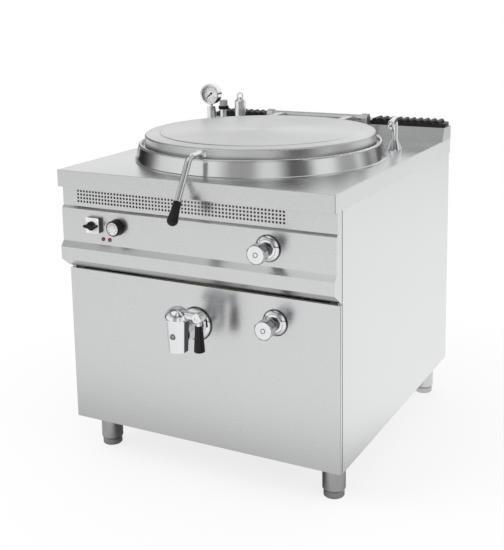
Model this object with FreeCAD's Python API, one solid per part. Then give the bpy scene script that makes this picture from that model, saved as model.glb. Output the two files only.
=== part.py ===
import FreeCAD, Part

import math
import os

# A free-standing jacketed kettle for a professional kitchen: a round stew vessel in a square cabinet.
# Millimetres. The origin is on the floor, on the vessel's vertical axis. +X is the user's right,
# -Y is the front, +Z is up. Heights are with the levelling feet screwed right in.

# Vessel, which sets the size of all that stands round it
VESSEL_R = 300.0
VESSEL_WALL = 2.0
VESSEL_DEPTH = 426.0
VESSEL_KNUCKLE = 8.0
VESSEL_FLANGE_W = 18.0
RIM_RISE = 28.0

# Jacket and insulation
JACKET_SPACE = 33.0
JACKET_WALL = 2.0
JACKET_TOP_DROP = 40.0
JACKET_DEPTH = 82.0
JACKET_KNUCKLE = 30.0
WOOL_T = 16.0
WOOL_TOP_DROP = 6.0
WOOL_BOTTOM_RISE = 42.0
WOOL_GAP = 0.5

# Worktop: what it leaves round the collar, and its sheet
WORKTOP_Z = 810.0
WORKTOP_SHEET = 2.0
SIDE_MARGIN = 47.0
FRONT_MARGIN = 52.0
SKIRT_H = 45.0
EDGE_R = 2.5
FOLD_R = 1.2
ALONG_DEG = 2.5
OVERCUT = 2.0

# Cabinet sheets
BASE_Z = 104.0
PANEL_SHEET = 1.5
PANEL_INSET = 1.0
SEAM = 1.0
FLANGE = 12.0
CHEEK_DEPTH = 10.0
BACK_INSET = 10.0

# Front, as insets from the worktop's front edge and steps down from the worktop
PANEL_BACK = 34.0
FACE_BACK = 12.0
BAND_BACK = 19.0
BAND_DROP = 98.0
BEVEL_H = 6.0
FACE_H = 90.0
LIP_SLOPE_H = 15.0
LIP_H = 34.0
UNDERCUT_H = 26.0
PANEL_SEAM = 7.0
CONTROL_INSET = 2.0

# Square ventilation holes in the band over the control face
VENT_ROWS = 4
VENT_PITCH_X = 9.8
VENT_PITCH_Z = 9.3
VENT_HOLE = 5.4
VENT_LEFT_GAP = 52.0
VENT_RIGHT_GAP = 140.0
VENT_LOW_GAP = 13.5

# Upstand and flue grille at the back
UPSTAND_H = 39.0
UPSTAND_LEAN = 16.0
UPSTAND_DEPTH = 67.0
FLUE_SLOT_FRONT = 12.0
FLUE_SLOT_BACK = 11.0
FLUE_SLOT_END = 16.0
GRILLE_H = 12.0
GRILLE_BACK = 4.0
GRILLE_END_R = 20.0
GRILLE_EDGE_R = 3.0
GRILLE_LEFT_L = 197.0
GRILLE_RIGHT_L = 240.0
GRILLE_JOINT = 0.6
RIB_PITCH = 22.0
RIB_H = 8.5
RIB_HALF_W = 8.0
RIB_SLOT_W = 6.0
RIB_SLOT_EDGE = 14.0

# Floor pan, frame and legs
PAN_LIP = 25.0
POST_W = 30.0
POST_WALL = 2.5
POST_SEAT = 2.0
RAIL_W = 30.0
RAIL_RISE = 26.0
CROSS_RAIL_DROP = 24.0
BRACKET_Y = 60.0
BRACKET_W = 30.0
BRACKET_H = 18.0
LEG_R = 30.0
LEG_WALL = 2.0
LEG_SIDE_INSET = 56.0
LEG_FRONT_INSET = 84.0
LEG_REAR_INSET = 60.0
LEG_PLATE = 3.0
LEG_PLATE_W = 74.0
LEG_PLUG_H = 14.0
LEG_GAP = 2.0
FOOT_R = 27.0
FOOT_H = 20.0
FOOT_CHAMFER = 4.0
STEM_R = 8.0
STEM_CLEAR = 8.0
RUNNING = 0.06
HEX_SIDES = 6

# Heating rings in the jacket water
HEATER_FIRST_R = 150.0
HEATER_STEP = 45.0
HEATER_COUNT = 3
HEATER_PITCH = 11.5
HEATER_R = 5.5
HEATER_RISE = 44.0
HEATER_OPENING = 8.0
HEATER_FLANGE_R = 42.0
HEATER_FLANGE_T = 8.0
HEATER_LAP = 4.0
HEATER_TERMINAL = 26.0

# Collar round the vessel
COLLAR_SHEET = 1.5
COLLAR_OUT = 53.0
COLLAR_SLOPE = 12.0
COLLAR_BEAD_H = 2.5
COLLAR_BEAD_W = 2.5
COLLAR_FOOT_W = 18.0
COLLAR_H = 46.0
COLLAR_ROLL_R = 5.0
GUTTER_EDGE = 6.0
HOLE_EDGE = 23.0

# Lid
LID_OVERLAP = 23.0
LID_RISE = 70.0
LID_SHEET = 1.5
LID_EDGE_R = 4.0
LID_BORDER = 40.0
LID_STEP_W = 3.0
LID_SLOPE = 2.0
LID_STEP_H = 1.5
LID_CROWN = 1.5
LID_SEAT = 0.3
LINER_SHEET = 1.2
LINER_RISE = 34.0
LINER_FLANGE = 10.0
LINER_BORDER = 38.0
LINER_DIP = 8.0

# Lid hinge
HINGE_SETBACK = 67.0
HINGE_ROOM = 22.0
HINGE_RISE = 62.0
HINGE_TUBE_R = 11.0
HINGE_PIN_R = 6.0
HINGE_PIN_REACH = 16.0
BRACKET_X = 152.0
BRACKET_T = 20.0
BRACKET_HEAD_R = 15.0
BRACKET_FOOT_D = 40.0
BRACKET_FOOT_H = 5.0
SIDE_GAP = 0.3
ARM_X = 105.0
ARM_W = 24.0
ARM_H = 14.0

# Lid handle, from the lid's edge
HANDLE_R = 8.5
HANDLE_RISE = 56.0
HANDLE_BEND_OUT = 60.5
HANDLE_BEND_R = 24.0
HANDLE_NECK_OUT = 61.0
HANDLE_NECK_DROP = 100.0
HANDLE_PAD_R = 14.0
HANDLE_PAD_T = 3.0
GRIP_LENGTH = 62.0
GRIP_NECK_R = 10.5
GRIP_WAIST_R = 11.2
GRIP_END_R = 14.3
GRIP_SOCKET = 14.0

# Drain: pipe, strainer, tap and lever
DRAIN_PIPE_R = 24.0
DRAIN_BORE_R = 20.0
DRAIN_ROSETTE_R = 45.0
STRAINER_HOLE_R = 1.8
STRAINER_RINGS = ((6, 6.2), (12, 12.6))
TAP_OUT = 90.0
SOCKET_R = 27.0
SOCKET_LENGTH = 34.0
SPOUT_SIDES = 8
SPOUT_TOP_RISE = 42.0
SPOUT_DROP = 41.0
SPOUT_TOP_FLAT = 27.0
SPOUT_END_FLAT = 22.5
OUTLET_R = 16.5
PLUG_R = 16.0
PLUG_DROP = 17.0
PORT_R = 11.0
SCREW_PLUG_R = 8.0
SCREW_PLUG_DEPTH = 2.5
SCREW_PLUG_RISE = 2.0
SCREW_PLUG_GROOVE = 1.4
SCREW_PLUG_SUNK = 0.8
DOME_R = 34.0
DOME_H = 31.0
DOME_GAP = 0.6
DOME_SKIRT = 3.0
NOTCH_W = 13.0
NOTCH_H = 12.0
NOTCH_DEPTH = 6.0
NOTCH_PEG_R = 2.0
NOTCH_DEG = 45.0
ARM_REACH = 61.0
ARM_R = 11.0
ARM_RISE = 11.5
BOSS_R = 13.0
BOSS_HALF_L = 13.0
BOSS_CHAMFER = 1.5
BOSS_EYE_R = 5.5
BOSS_EYE_DEPTH = 1.2
LEVER_NECK_R = 7.0
LEVER_NECK_DROP = 10.0
LEVER_GRIP_DROP = 77.0
LEVER_GRIP_NECK_R = 9.7
LEVER_GRIP_END_R = 14.0
LEVER_GRIP_EDGE = 3.0

# Escutcheons, shared by the three taps
ROSETTE_R = 34.0
ROSETTE_H = 11.0
ROSETTE_EDGE = 2.0
ROSETTE_LAND = 4.0
ROSETTE_HOLLOW = 0.72

# Water taps on the front
FILL_TAP_SIDE = 180.5
LEVEL_TAP_SIDE = 175.0
FILL_TAP_RISE = 45.0
LEVEL_TAP_DROP = 66.0
BONNET_R = 14.0
BONNET_NUT_FLAT = 13.0
BONNET_NUT_H = 11.0
BONNET_NECK_R = 11.0
BONNET_REACH = 34.0
BONNET_SHANK = 28.0
SPINDLE_R = 4.0
KNOB_REACH = 67.0
KNOB_LENGTH = 32.0
KNOB_FLAT = 23.5
KNOB_R = 25.2
KNOB_NECK_R = 14.0
KNOB_SIDES = 8
KNOB_SHOULDER = 12.0
KNOB_CROWN = 2.5
KNOB_RING_R = 7.5
KNOB_RING_W = 1.4
KNOB_RING_DEPTH = 0.8
LEVEL_PIPE_R = 7.0

# Main switch, thermostat and lamps
SWITCH_SIDE = 107.5
SWITCH_RISE = 52.0
SWITCH_PLATE_W = 41.0
SWITCH_PLATE_T = 12.0
SWITCH_CORNER_R = 3.0
SWITCH_RIM = 1.6
SWITCH_RIM_DEPTH = 0.8
SWITCH_KNOB_R = 12.0
SWITCH_KNOB_H = 7.0
SWITCH_BAR_L = 38.0
SWITCH_BAR_W = 11.0
SWITCH_BAR_TIP = 2.5
SWITCH_BAR_H = 14.0
SWITCH_SPINDLE_R = 3.0
SWITCH_BLOCK_W = 38.0
SWITCH_BLOCK_D = 40.0
THERMOSTAT_STEP = 71.5
THERMOSTAT_KNOB_R = 22.3
THERMOSTAT_KNOB_H = 22.0
THERMOSTAT_TAPER = 2.0
THERMOSTAT_FACE_R = 17.3
THERMOSTAT_RIM = 0.6
THERMOSTAT_FLUTES = 24
THERMOSTAT_FLUTE_R = 1.4
THERMOSTAT_BLOCK_R = 19.0
THERMOSTAT_BLOCK_D = 30.0
KNOB_GAP = 0.5
LAMP_STEPS = (26.0, 46.5)
LAMP_RISE = 15.5
LAMP_R = 5.6
LAMP_PROUD = 2.5
LAMP_FLAT = 2.2
LAMP_BODY_R = 6.5
LAMP_BODY_D = 22.0

# Fittings behind the vessel: pressure gauge, vent valve, safety valve
FITTINGS_LEAD = 40.0
SHANK_R = 8.0
SHANK_DROP = 22.0
SHANK_NUT_R = 13.0
SHANK_NUT_H = 8.0
SHANK_CLEAR = 0.2
GAUGE_SIDE = 37.0
GAUGE_POST_R = 14.0
GAUGE_POST_H = 82.0
GAUGE_NECK_R = 6.0
GAUGE_RISE = 122.0
GAUGE_R = 33.0
GAUGE_DEPTH = 30.0
GAUGE_WALL = 2.5
GAUGE_LIP = 3.0
GAUGE_DIAL_R = 30.0
GAUGE_DIAL_T = 1.0
GAUGE_DIAL_BACK = 12.0
GAUGE_GLASS_T = 2.0
NEEDLE_LENGTH = 22.0
NEEDLE_TAIL = 7.0
NEEDLE_W = 2.4
NEEDLE_TIP_W = 0.6
NEEDLE_T = 0.8
NEEDLE_HUB_R = 3.0
NEEDLE_REST_DEG = 221.0
VENT_STEP = 46.0
VENT_BODY_R = 12.0
VENT_BODY_H = 74.0
VENT_WHEEL_R = 16.5
VENT_WHEEL_H = 11.0
VENT_WHEEL_LOBES = 6
VENT_CAP_R = 13.0
VENT_CAP_H = 19.0
VENT_SPINDLE_R = 4.0
SAFETY_STEP = 108.0
SAFETY_R = 17.5
SAFETY_H = 108.0
SAFETY_CHAMFER = 4.0
SAFETY_POST_R = 5.0
SAFETY_POST_H = 8.0
BAIL_R = 9.0
BAIL_WIRE_R = 2.0
BAIL_LEG = 9.0
BAIL_PIN_R = 1.5

# Filling spout behind the vessel on the right
SPOUT_OUT = 36.6
SPOUT_DEG = 36.55
SPOUT_BASE_R = 23.0
SPOUT_BASE_TOP_R = 11.5
SPOUT_BASE_EDGE = 2.0
SPOUT_BASE_H = 27.0
SPOUT_POST_R = 9.3
SPOUT_BORE_R = 6.5
SPOUT_RISE = 88.0
SPOUT_REACH = 100.0
SPOUT_HEAD_R = 11.8
SPOUT_HEAD_LENGTH = 11.0
SPOUT_DOWN = 13.5
SPOUT_BEND_R = 13.0
SPOUT_REST_DEG = -76.5

# Water supply, cable entry and terminals at the back of the floor pan
ENTRY_INSET = 55.0
INLET_SIDE = 115.0
INLET_R = 10.5
INLET_SHANK_R = 9.5
INLET_NUT_R = 14.0
INLET_NUT_H = 8.0
INLET_DROP = 20.0
PIPE_R = 8.0
PIPE_BORE_R = 6.5
PIPE_BEND_R = 16.0
SUPPLY_RISE = 46.0
SUPPLY_INSET = 29.0
FEED_SIDE = 26.0
FEED_RISE = 39.0
FEED_DROP = 24.0
VALVE_BODY_R = 13.0
GLAND_SIDE = 150.0
GLAND_BORE_R = 9.0
GLAND_R = 15.0
GLAND_HEX_R = 18.0
GLAND_DROP = 24.0
GLAND_HEX_H = 9.0
TERMINAL_LEAD = 64.0
TERMINAL_L = 90.0
TERMINAL_W = 32.0
TERMINAL_H = 26.0
TERMINAL_POLES = 5
TERMINAL_SCREW_R = 4.0

# Radii that follow from the vessel
VESSEL_OUT_R = VESSEL_R + VESSEL_WALL
JACKET_R = VESSEL_OUT_R + JACKET_SPACE
WOOL_R = JACKET_R + WOOL_GAP + WOOL_T
COLLAR_BASE_R = VESSEL_R + COLLAR_OUT
COLLAR_RIM_R = COLLAR_BASE_R - COLLAR_SLOPE
HOLE_R = COLLAR_BASE_R - HOLE_EDGE
GUTTER_IN_R = VESSEL_R + GUTTER_EDGE
LID_R = VESSEL_R + LID_OVERLAP
LID_STEP_R = LID_R - LID_BORDER

# Plan of the cabinet
HALF_W = COLLAR_BASE_R + SIDE_MARGIN
PANEL_HALF_W = HALF_W - PANEL_INSET
CONTROL_HALF_W = HALF_W - CONTROL_INSET
POST_X = PANEL_HALF_W - PANEL_SHEET
FRONT_REACH = COLLAR_BASE_R + FRONT_MARGIN
PANEL_Y = PANEL_BACK - FRONT_REACH
FACE_Y = FACE_BACK - FRONT_REACH
BAND_Y = BAND_BACK - FRONT_REACH
CHEEK_Y = PANEL_Y + CHEEK_DEPTH
HINGE_Y = LID_R + HINGE_SETBACK
UPSTAND_FOOT_Y = HINGE_Y + HINGE_ROOM
UPSTAND_TOP_Y = UPSTAND_FOOT_Y + UPSTAND_LEAN
REAR_REACH = UPSTAND_TOP_Y + UPSTAND_DEPTH
BACK_Y = REAR_REACH - BACK_INSET
FEET_X = HALF_W - LEG_SIDE_INSET
LEG_FRONT_Y = PANEL_Y + LEG_FRONT_INSET
LEG_REAR_Y = REAR_REACH - LEG_REAR_INSET

# Heights
SKIRT_Z = WORKTOP_Z - SKIRT_H
UNDER_TOP_Z = WORKTOP_Z - WORKTOP_SHEET
BAND_BOTTOM_Z = WORKTOP_Z - BAND_DROP
FACE_TOP_Z = BAND_BOTTOM_Z - BEVEL_H
FACE_BOTTOM_Z = FACE_TOP_Z - FACE_H
LIP_TOP_Z = FACE_BOTTOM_Z - LIP_SLOPE_H
LIP_BOTTOM_Z = LIP_TOP_Z - LIP_H
CONTROL_BOTTOM_Z = LIP_BOTTOM_Z - UNDERCUT_H
FRONT_PANEL_TOP_Z = CONTROL_BOTTOM_Z - PANEL_SEAM
PAN_TOP_Z = BASE_Z + PANEL_SHEET
RIM_Z = WORKTOP_Z + RIM_RISE
VESSEL_FLOOR_Z = RIM_Z - VESSEL_DEPTH
DRAIN_Z = VESSEL_FLOOR_Z + DRAIN_BORE_R
JACKET_TOP_Z = WORKTOP_Z - JACKET_TOP_DROP
JACKET_BOTTOM_Z = VESSEL_FLOOR_Z - JACKET_DEPTH
HEATER_Z = JACKET_BOTTOM_Z + JACKET_WALL + HEATER_RISE
RAIL_Z = FRONT_PANEL_TOP_Z + RAIL_RISE
CROSS_RAIL_Z = RAIL_Z - CROSS_RAIL_DROP
GUTTER_Z = RIM_Z + COLLAR_SHEET
HINGE_Z = WORKTOP_Z + HINGE_RISE

# Places of the fittings
PLATE_Y = FACE_Y - SWITCH_PLATE_T
SWITCH_X = SWITCH_SIDE - HALF_W
SWITCH_Z = FACE_BOTTOM_Z + SWITCH_RISE
THERMOSTAT_X = SWITCH_X + THERMOSTAT_STEP
LAMP_Z = FACE_BOTTOM_Z + LAMP_RISE
FILL_TAP_X = HALF_W - FILL_TAP_SIDE
FILL_TAP_Z = FACE_BOTTOM_Z + FILL_TAP_RISE
LEVEL_TAP_X = HALF_W - LEVEL_TAP_SIDE
LEVEL_TAP_Z = FRONT_PANEL_TOP_Z - LEVEL_TAP_DROP
TAP_Y = PANEL_Y - TAP_OUT
SPOUT_TOP_Z = DRAIN_Z + SPOUT_TOP_RISE
DOME_Z = SPOUT_TOP_Z + DOME_GAP
LEVER_Z = DOME_Z + ARM_RISE
HANDLE_Z = WORKTOP_Z + HANDLE_RISE
HANDLE_CORNER = (0.0, -LID_R - HANDLE_BEND_OUT, HANDLE_Z)
HANDLE_NECK = (0.0, HANDLE_CORNER[1] - HANDLE_NECK_OUT, HANDLE_Z - HANDLE_NECK_DROP)
FITTINGS_Y = HINGE_Y - FITTINGS_LEAD
GAUGE_X = GAUGE_SIDE - HALF_W
VENT_X = GAUGE_X + VENT_STEP
SAFETY_X = GAUGE_X + SAFETY_STEP
SPOUT_X = (COLLAR_BASE_R + SPOUT_OUT) * math.cos(math.radians(SPOUT_DEG))
SPOUT_Y = (COLLAR_BASE_R + SPOUT_OUT) * math.sin(math.radians(SPOUT_DEG))
ENTRY_Y = REAR_REACH - ENTRY_INSET
INLET_X = HALF_W - INLET_SIDE
GLAND_X = GLAND_SIDE - HALF_W
SUPPLY_Y = PANEL_Y + SUPPLY_INSET
SUPPLY_LOW_Z = BASE_Z + SUPPLY_RISE
FEED_X = HALF_W - FEED_SIDE
FEED_Z = FILL_TAP_Z + FEED_RISE


def vector(point):
    return FreeCAD.Vector(*point)


def box(low, high):
    size = [b - a for a, b in zip(low, high)]
    return Part.makeBox(size[0], size[1], size[2], vector(low))


def rod(radius, start, end):
    run = vector(end) - vector(start)
    return Part.makeCylinder(radius, run.Length, vector(start), run)


def tube(radius, bore, start, end):
    return rod(radius, start, end).cut(rod(bore, start, end))


def joined(shapes):
    whole = shapes[0].multiFuse(shapes[1:]) if len(shapes) > 1 else shapes[0]
    return whole.removeSplitter()


def outline(steps, place):
    """A closed face through the steps. A step is a point, or a pair of points for an arc by the first."""
    edges = []
    here = steps[0]
    for step in list(steps[1:]) + [steps[0]]:
        if isinstance(step, list):
            middle, end = step
            edges.append(Part.Arc(place(here), place(middle), place(end)).toShape())
        else:
            end = step
            edges.append(Part.makeLine(place(here), place(end)))
        here = end
    return Part.Face(Part.Wire(edges))


def turned(steps, x=0.0, y=0.0):
    """A profile of radius and height steps, turned about the upright line at x, y."""
    face = outline(steps, lambda p: FreeCAD.Vector(p[0], 0, p[1]))
    solid = face.revolve(FreeCAD.Vector(0, 0, 0), FreeCAD.Vector(0, 0, 1), 360)
    solid.translate(FreeCAD.Vector(x, y, 0))
    return solid


def folded(steps, half_width):
    """A section of y and z steps, drawn out evenly to both sides."""
    face = outline(steps, lambda p: FreeCAD.Vector(-half_width, p[0], p[1]))
    return face.extrude(FreeCAD.Vector(2 * half_width, 0, 0))


def to_front(shape, x, y, z):
    """Lays a shape made along +Z on its side, so that it points at the user from x, y, z."""
    shape.rotate(FreeCAD.Vector(0, 0, 0), FreeCAD.Vector(1, 0, 0), 90)
    shape.translate(FreeCAD.Vector(x, y, z))
    return shape


def swept(radius, points, bend):
    """A round bar through the points, with its corners bent to the given radius."""
    path = [vector(points[0])]
    edges = []
    for before, corner, after in zip(points, points[1:], points[2:]):
        corner = vector(corner)
        back = (vector(before) - corner).normalize()
        ahead = (vector(after) - corner).normalize()
        half = back.getAngle(ahead) / 2
        reach = bend / math.tan(half)
        start = corner + back * reach
        end = corner + ahead * reach
        inward = (back + ahead).normalize()
        middle = corner + inward * (bend / math.sin(half) - bend)
        edges.append(Part.makeLine(path[-1], start))
        edges.append(Part.Arc(start, middle, end).toShape())
        path.append(end)
    edges.append(Part.makeLine(path[-1], vector(points[-1])))
    along = vector(points[1]) - vector(points[0])
    ring = Part.Wire(Part.makeCircle(radius, vector(points[0]), along))
    return Part.Wire(edges).makePipeShell([ring], True, False)


def prism(sides, flat, low, high, x=0.0, y=0.0):
    """An upright prism with the given half width across its flats."""
    corner = flat / math.cos(math.pi / sides)
    steps = []
    for side in range(sides):
        angle = math.pi * (2 * side + 1) / sides
        steps.append(FreeCAD.Vector(x + corner * math.cos(angle), y + corner * math.sin(angle), low))
    wire = Part.makePolygon(steps + [steps[0]])
    return Part.Face(wire).extrude(FreeCAD.Vector(0, 0, high - low))


def edges_along(shape, direction, keep):
    """The straight edges along a direction whose middle passes the test."""
    least = math.cos(math.radians(ALONG_DEG))
    chosen = []
    for edge in shape.Edges:
        if len(edge.Vertexes) < 2:
            continue
        run = edge.Vertexes[1].Point - edge.Vertexes[0].Point
        if run.Length > 0 and abs(run.normalize().dot(direction)) > least and keep(edge.CenterOfMass):
            chosen.append(edge)
    return chosen


def threaded_foot(x, y):
    """Shank and nut that hold a fitting down through the worktop."""
    shank = rod(SHANK_R, (x, y, UNDER_TOP_Z - SHANK_DROP), (x, y, WORKTOP_Z))
    nut = prism(HEX_SIDES, SHANK_NUT_R, UNDER_TOP_Z - SHANK_NUT_H, UNDER_TOP_Z, x, y)
    return shank.fuse(nut)


# Cabinet sheets

def worktop():
    slab = box((-HALF_W, -FRONT_REACH, SKIRT_Z), (HALF_W, REAR_REACH, WORKTOP_Z))
    upright = FreeCAD.Vector(0, 0, 1)
    slab = slab.makeFillet(EDGE_R, edges_along(slab, upright, lambda c: True))
    rim = [edge for edge in slab.Edges if abs(edge.CenterOfMass.z - WORKTOP_Z) < FOLD_R]
    slab = slab.makeFillet(FOLD_R, rim)
    hollow_low = (-HALF_W + WORKTOP_SHEET, -FRONT_REACH + WORKTOP_SHEET, SKIRT_Z - OVERCUT)
    hollow_high = (HALF_W - WORKTOP_SHEET, REAR_REACH - WORKTOP_SHEET, UNDER_TOP_Z)
    slab = slab.cut(box(hollow_low, hollow_high))
    low = UNDER_TOP_Z - OVERCUT
    high = WORKTOP_Z + OVERCUT
    holes = [rod(HOLE_R, (0, 0, low), (0, 0, high))]
    for x, y in ((GAUGE_X, FITTINGS_Y), (VENT_X, FITTINGS_Y), (SAFETY_X, FITTINGS_Y), (SPOUT_X, SPOUT_Y)):
        holes.append(rod(SHANK_R + SHANK_CLEAR, (x, y, low), (x, y, high)))
    holes.append(flue_slot(low, high))
    return slab.cut(holes)


def flue_slot(low, high):
    """The long opening through worktop and upstand, under the grille."""
    half = HALF_W - FLUE_SLOT_END
    front = UPSTAND_TOP_Y + FLUE_SLOT_FRONT
    return box((-half, front, low), (half, REAR_REACH - FLUE_SLOT_BACK, high))


def upstand():
    top = WORKTOP_Z + UPSTAND_H
    steps = [(UPSTAND_FOOT_Y, WORKTOP_Z), (UPSTAND_TOP_Y, top), (REAR_REACH, top), (REAR_REACH, WORKTOP_Z)]
    inner_top = top - PANEL_SHEET
    inner = [(UPSTAND_FOOT_Y + PANEL_SHEET, WORKTOP_Z - OVERCUT),
             (UPSTAND_FOOT_Y + PANEL_SHEET, WORKTOP_Z),
             (UPSTAND_TOP_Y + PANEL_SHEET, inner_top),
             (REAR_REACH - PANEL_SHEET, inner_top),
             (REAR_REACH - PANEL_SHEET, WORKTOP_Z - OVERCUT)]
    block = folded(steps, HALF_W)
    rim = [edge for edge in block.Edges if abs(edge.CenterOfMass.z - top) < FOLD_R]
    shell = block.makeFillet(FOLD_R, rim).cut(folded(inner, HALF_W - PANEL_SHEET))
    return shell.cut(flue_slot(inner_top - OVERCUT, top + OVERCUT))


def rib_places():
    count = int((2 * HALF_W - RIB_PITCH) // RIB_PITCH)
    first = -(count - 1) * RIB_PITCH / 2
    return [first + step * RIB_PITCH for step in range(count)]


def grille_casting(left, right, round_left, round_right):
    """One length of the cast flue grille: a bar with rounded cross ribs on top and slots between them."""
    low = WORKTOP_Z + UPSTAND_H
    high = low + GRILLE_H
    front = UPSTAND_TOP_Y
    back = REAR_REACH - GRILLE_BACK
    bar = box((left, front, low), (right, back, high))
    ends = []
    if round_left:
        ends += edges_along(bar, FreeCAD.Vector(0, 0, 1), lambda c: c.x < left + OVERCUT)
    if round_right:
        ends += edges_along(bar, FreeCAD.Vector(0, 0, 1), lambda c: c.x > right - OVERCUT)
    if ends:
        bar = bar.makeFillet(GRILLE_END_R, ends)
    ribs = []
    slots = []
    near = front + GRILLE_EDGE_R
    for x in rib_places():
        if left + RIB_HALF_W < x < right - RIB_HALF_W:
            steps = [(x - RIB_HALF_W, high), [(x, high + RIB_H), (x + RIB_HALF_W, high)]]
            face = outline(steps, lambda p: FreeCAD.Vector(p[0], near, p[1]))
            ribs.append(face.extrude(FreeCAD.Vector(0, back - front - 2 * GRILLE_EDGE_R, 0)))
        slot_x = x + RIB_PITCH / 2
        if left + RIB_SLOT_W < slot_x < right - RIB_SLOT_W:
            slot_low = (slot_x - RIB_SLOT_W / 2, front + RIB_SLOT_EDGE, low - OVERCUT)
            slots.append(box(slot_low, (slot_x + RIB_SLOT_W / 2, back - RIB_SLOT_EDGE, high + OVERCUT)))
    return bar.fuse(ribs).cut(slots).removeSplitter()


def flue_grille_ends():
    left = grille_casting(-HALF_W, GRILLE_LEFT_L - HALF_W - GRILLE_JOINT, True, False)
    right = grille_casting(HALF_W - GRILLE_RIGHT_L + GRILLE_JOINT, HALF_W, False, True)
    return Part.makeCompound([left, right])


def flue_grille_centre():
    return grille_casting(GRILLE_LEFT_L - HALF_W, HALF_W - GRILLE_RIGHT_L, False, False)


def control_panel():
    steps = [(BAND_Y, BAND_BOTTOM_Z), (FACE_Y, FACE_TOP_Z), (FACE_Y, FACE_BOTTOM_Z),
             (-FRONT_REACH, LIP_TOP_Z), (-FRONT_REACH, LIP_BOTTOM_Z), (PANEL_Y, CONTROL_BOTTOM_Z),
             (CHEEK_Y, CONTROL_BOTTOM_Z), (CHEEK_Y, BAND_BOTTOM_Z)]
    inner = [(y + PANEL_SHEET, z) for y, z in steps[:5]]
    inner[0] = (inner[0][0], BAND_BOTTOM_Z + OVERCUT)
    inner.insert(1, (inner[0][0], BAND_BOTTOM_Z))
    inner += [(PANEL_Y + PANEL_SHEET, CONTROL_BOTTOM_Z + PANEL_SHEET),
              (CHEEK_Y + OVERCUT, CONTROL_BOTTOM_Z + PANEL_SHEET),
              (CHEEK_Y + OVERCUT, BAND_BOTTOM_Z + OVERCUT)]
    shell = folded(steps, CONTROL_HALF_W).cut(folded(inner, CONTROL_HALF_W - PANEL_SHEET))
    near = FACE_Y - OVERCUT
    far = FACE_Y + PANEL_SHEET + OVERCUT
    holes = [rod(SWITCH_SPINDLE_R + RUNNING, (SWITCH_X, near, SWITCH_Z), (SWITCH_X, far, SWITCH_Z)),
             rod(SWITCH_SPINDLE_R + RUNNING, (THERMOSTAT_X, near, SWITCH_Z), (THERMOSTAT_X, far, SWITCH_Z)),
             rod(BONNET_R, (FILL_TAP_X, near, FILL_TAP_Z), (FILL_TAP_X, far, FILL_TAP_Z))]
    for x in lamp_places():
        holes.append(rod(LAMP_R, (x, near, LAMP_Z), (x, far, LAMP_Z)))
    return shell.cut(holes)


def vent_band():
    outer = box((-CONTROL_HALF_W, BAND_Y, BAND_BOTTOM_Z), (CONTROL_HALF_W, CHEEK_Y, SKIRT_Z))
    hollow_low = (-CONTROL_HALF_W + PANEL_SHEET, BAND_Y + PANEL_SHEET, BAND_BOTTOM_Z - OVERCUT)
    hollow_high = (CONTROL_HALF_W - PANEL_SHEET, CHEEK_Y + OVERCUT, SKIRT_Z - PANEL_SHEET)
    shell = outer.cut(box(hollow_low, hollow_high))
    holes = []
    columns = int((2 * HALF_W - VENT_LEFT_GAP - VENT_RIGHT_GAP) / VENT_PITCH_X) + 1
    for column in range(columns):
        x = VENT_LEFT_GAP - HALF_W + column * VENT_PITCH_X - VENT_HOLE / 2
        for row in range(VENT_ROWS):
            z = BAND_BOTTOM_Z + VENT_LOW_GAP + row * VENT_PITCH_Z - VENT_HOLE / 2
            far = BAND_Y + PANEL_SHEET + OVERCUT
            holes.append(box((x, BAND_Y - OVERCUT, z), (x + VENT_HOLE, far, z + VENT_HOLE)))
    return shell.cut(Part.makeCompound(holes))


def front_panel():
    half = PANEL_HALF_W - PANEL_INSET
    tray = box((-half, PANEL_Y, BASE_Z), (half, CHEEK_Y, FRONT_PANEL_TOP_Z))
    corners = edges_along(tray, FreeCAD.Vector(0, 0, 1), lambda c: c.y < PANEL_Y + OVERCUT)
    tray = tray.makeFillet(EDGE_R, corners)
    hollow_low = (-half + PANEL_SHEET, PANEL_Y + PANEL_SHEET, PAN_TOP_Z)
    hollow_high = (half - PANEL_SHEET, CHEEK_Y + OVERCUT, FRONT_PANEL_TOP_Z - PANEL_SHEET)
    tray = tray.cut(box(hollow_low, hollow_high))
    near = PANEL_Y - OVERCUT
    far = PANEL_Y + PANEL_SHEET + OVERCUT
    drain = rod(DRAIN_PIPE_R + WOOL_GAP, (0, near, DRAIN_Z), (0, far, DRAIN_Z))
    level = rod(BONNET_R, (LEVEL_TAP_X, near, LEVEL_TAP_Z), (LEVEL_TAP_X, far, LEVEL_TAP_Z))
    return tray.cut([drain, level])


def side_panels():
    front = CHEEK_Y + SEAM
    panels = []
    for side in (-1, 1):
        inner_x = PANEL_HALF_W - FLANGE
        tray = box((inner_x, front, BASE_Z), (PANEL_HALF_W, BACK_Y, SKIRT_Z))
        hollow_low = (inner_x - OVERCUT, front + PANEL_SHEET, BASE_Z - OVERCUT)
        hollow_high = (PANEL_HALF_W - PANEL_SHEET, BACK_Y - PANEL_SHEET, SKIRT_Z + OVERCUT)
        tray = tray.cut(box(hollow_low, hollow_high))
        panels.append(tray if side > 0 else tray.mirror(FreeCAD.Vector(0, 0, 0), FreeCAD.Vector(1, 0, 0)))
    return Part.makeCompound(panels)


def rear_panel():
    half = PANEL_HALF_W - FLANGE - SEAM
    return box((-half, BACK_Y - PANEL_SHEET, BASE_Z), (half, BACK_Y, SKIRT_Z))


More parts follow.
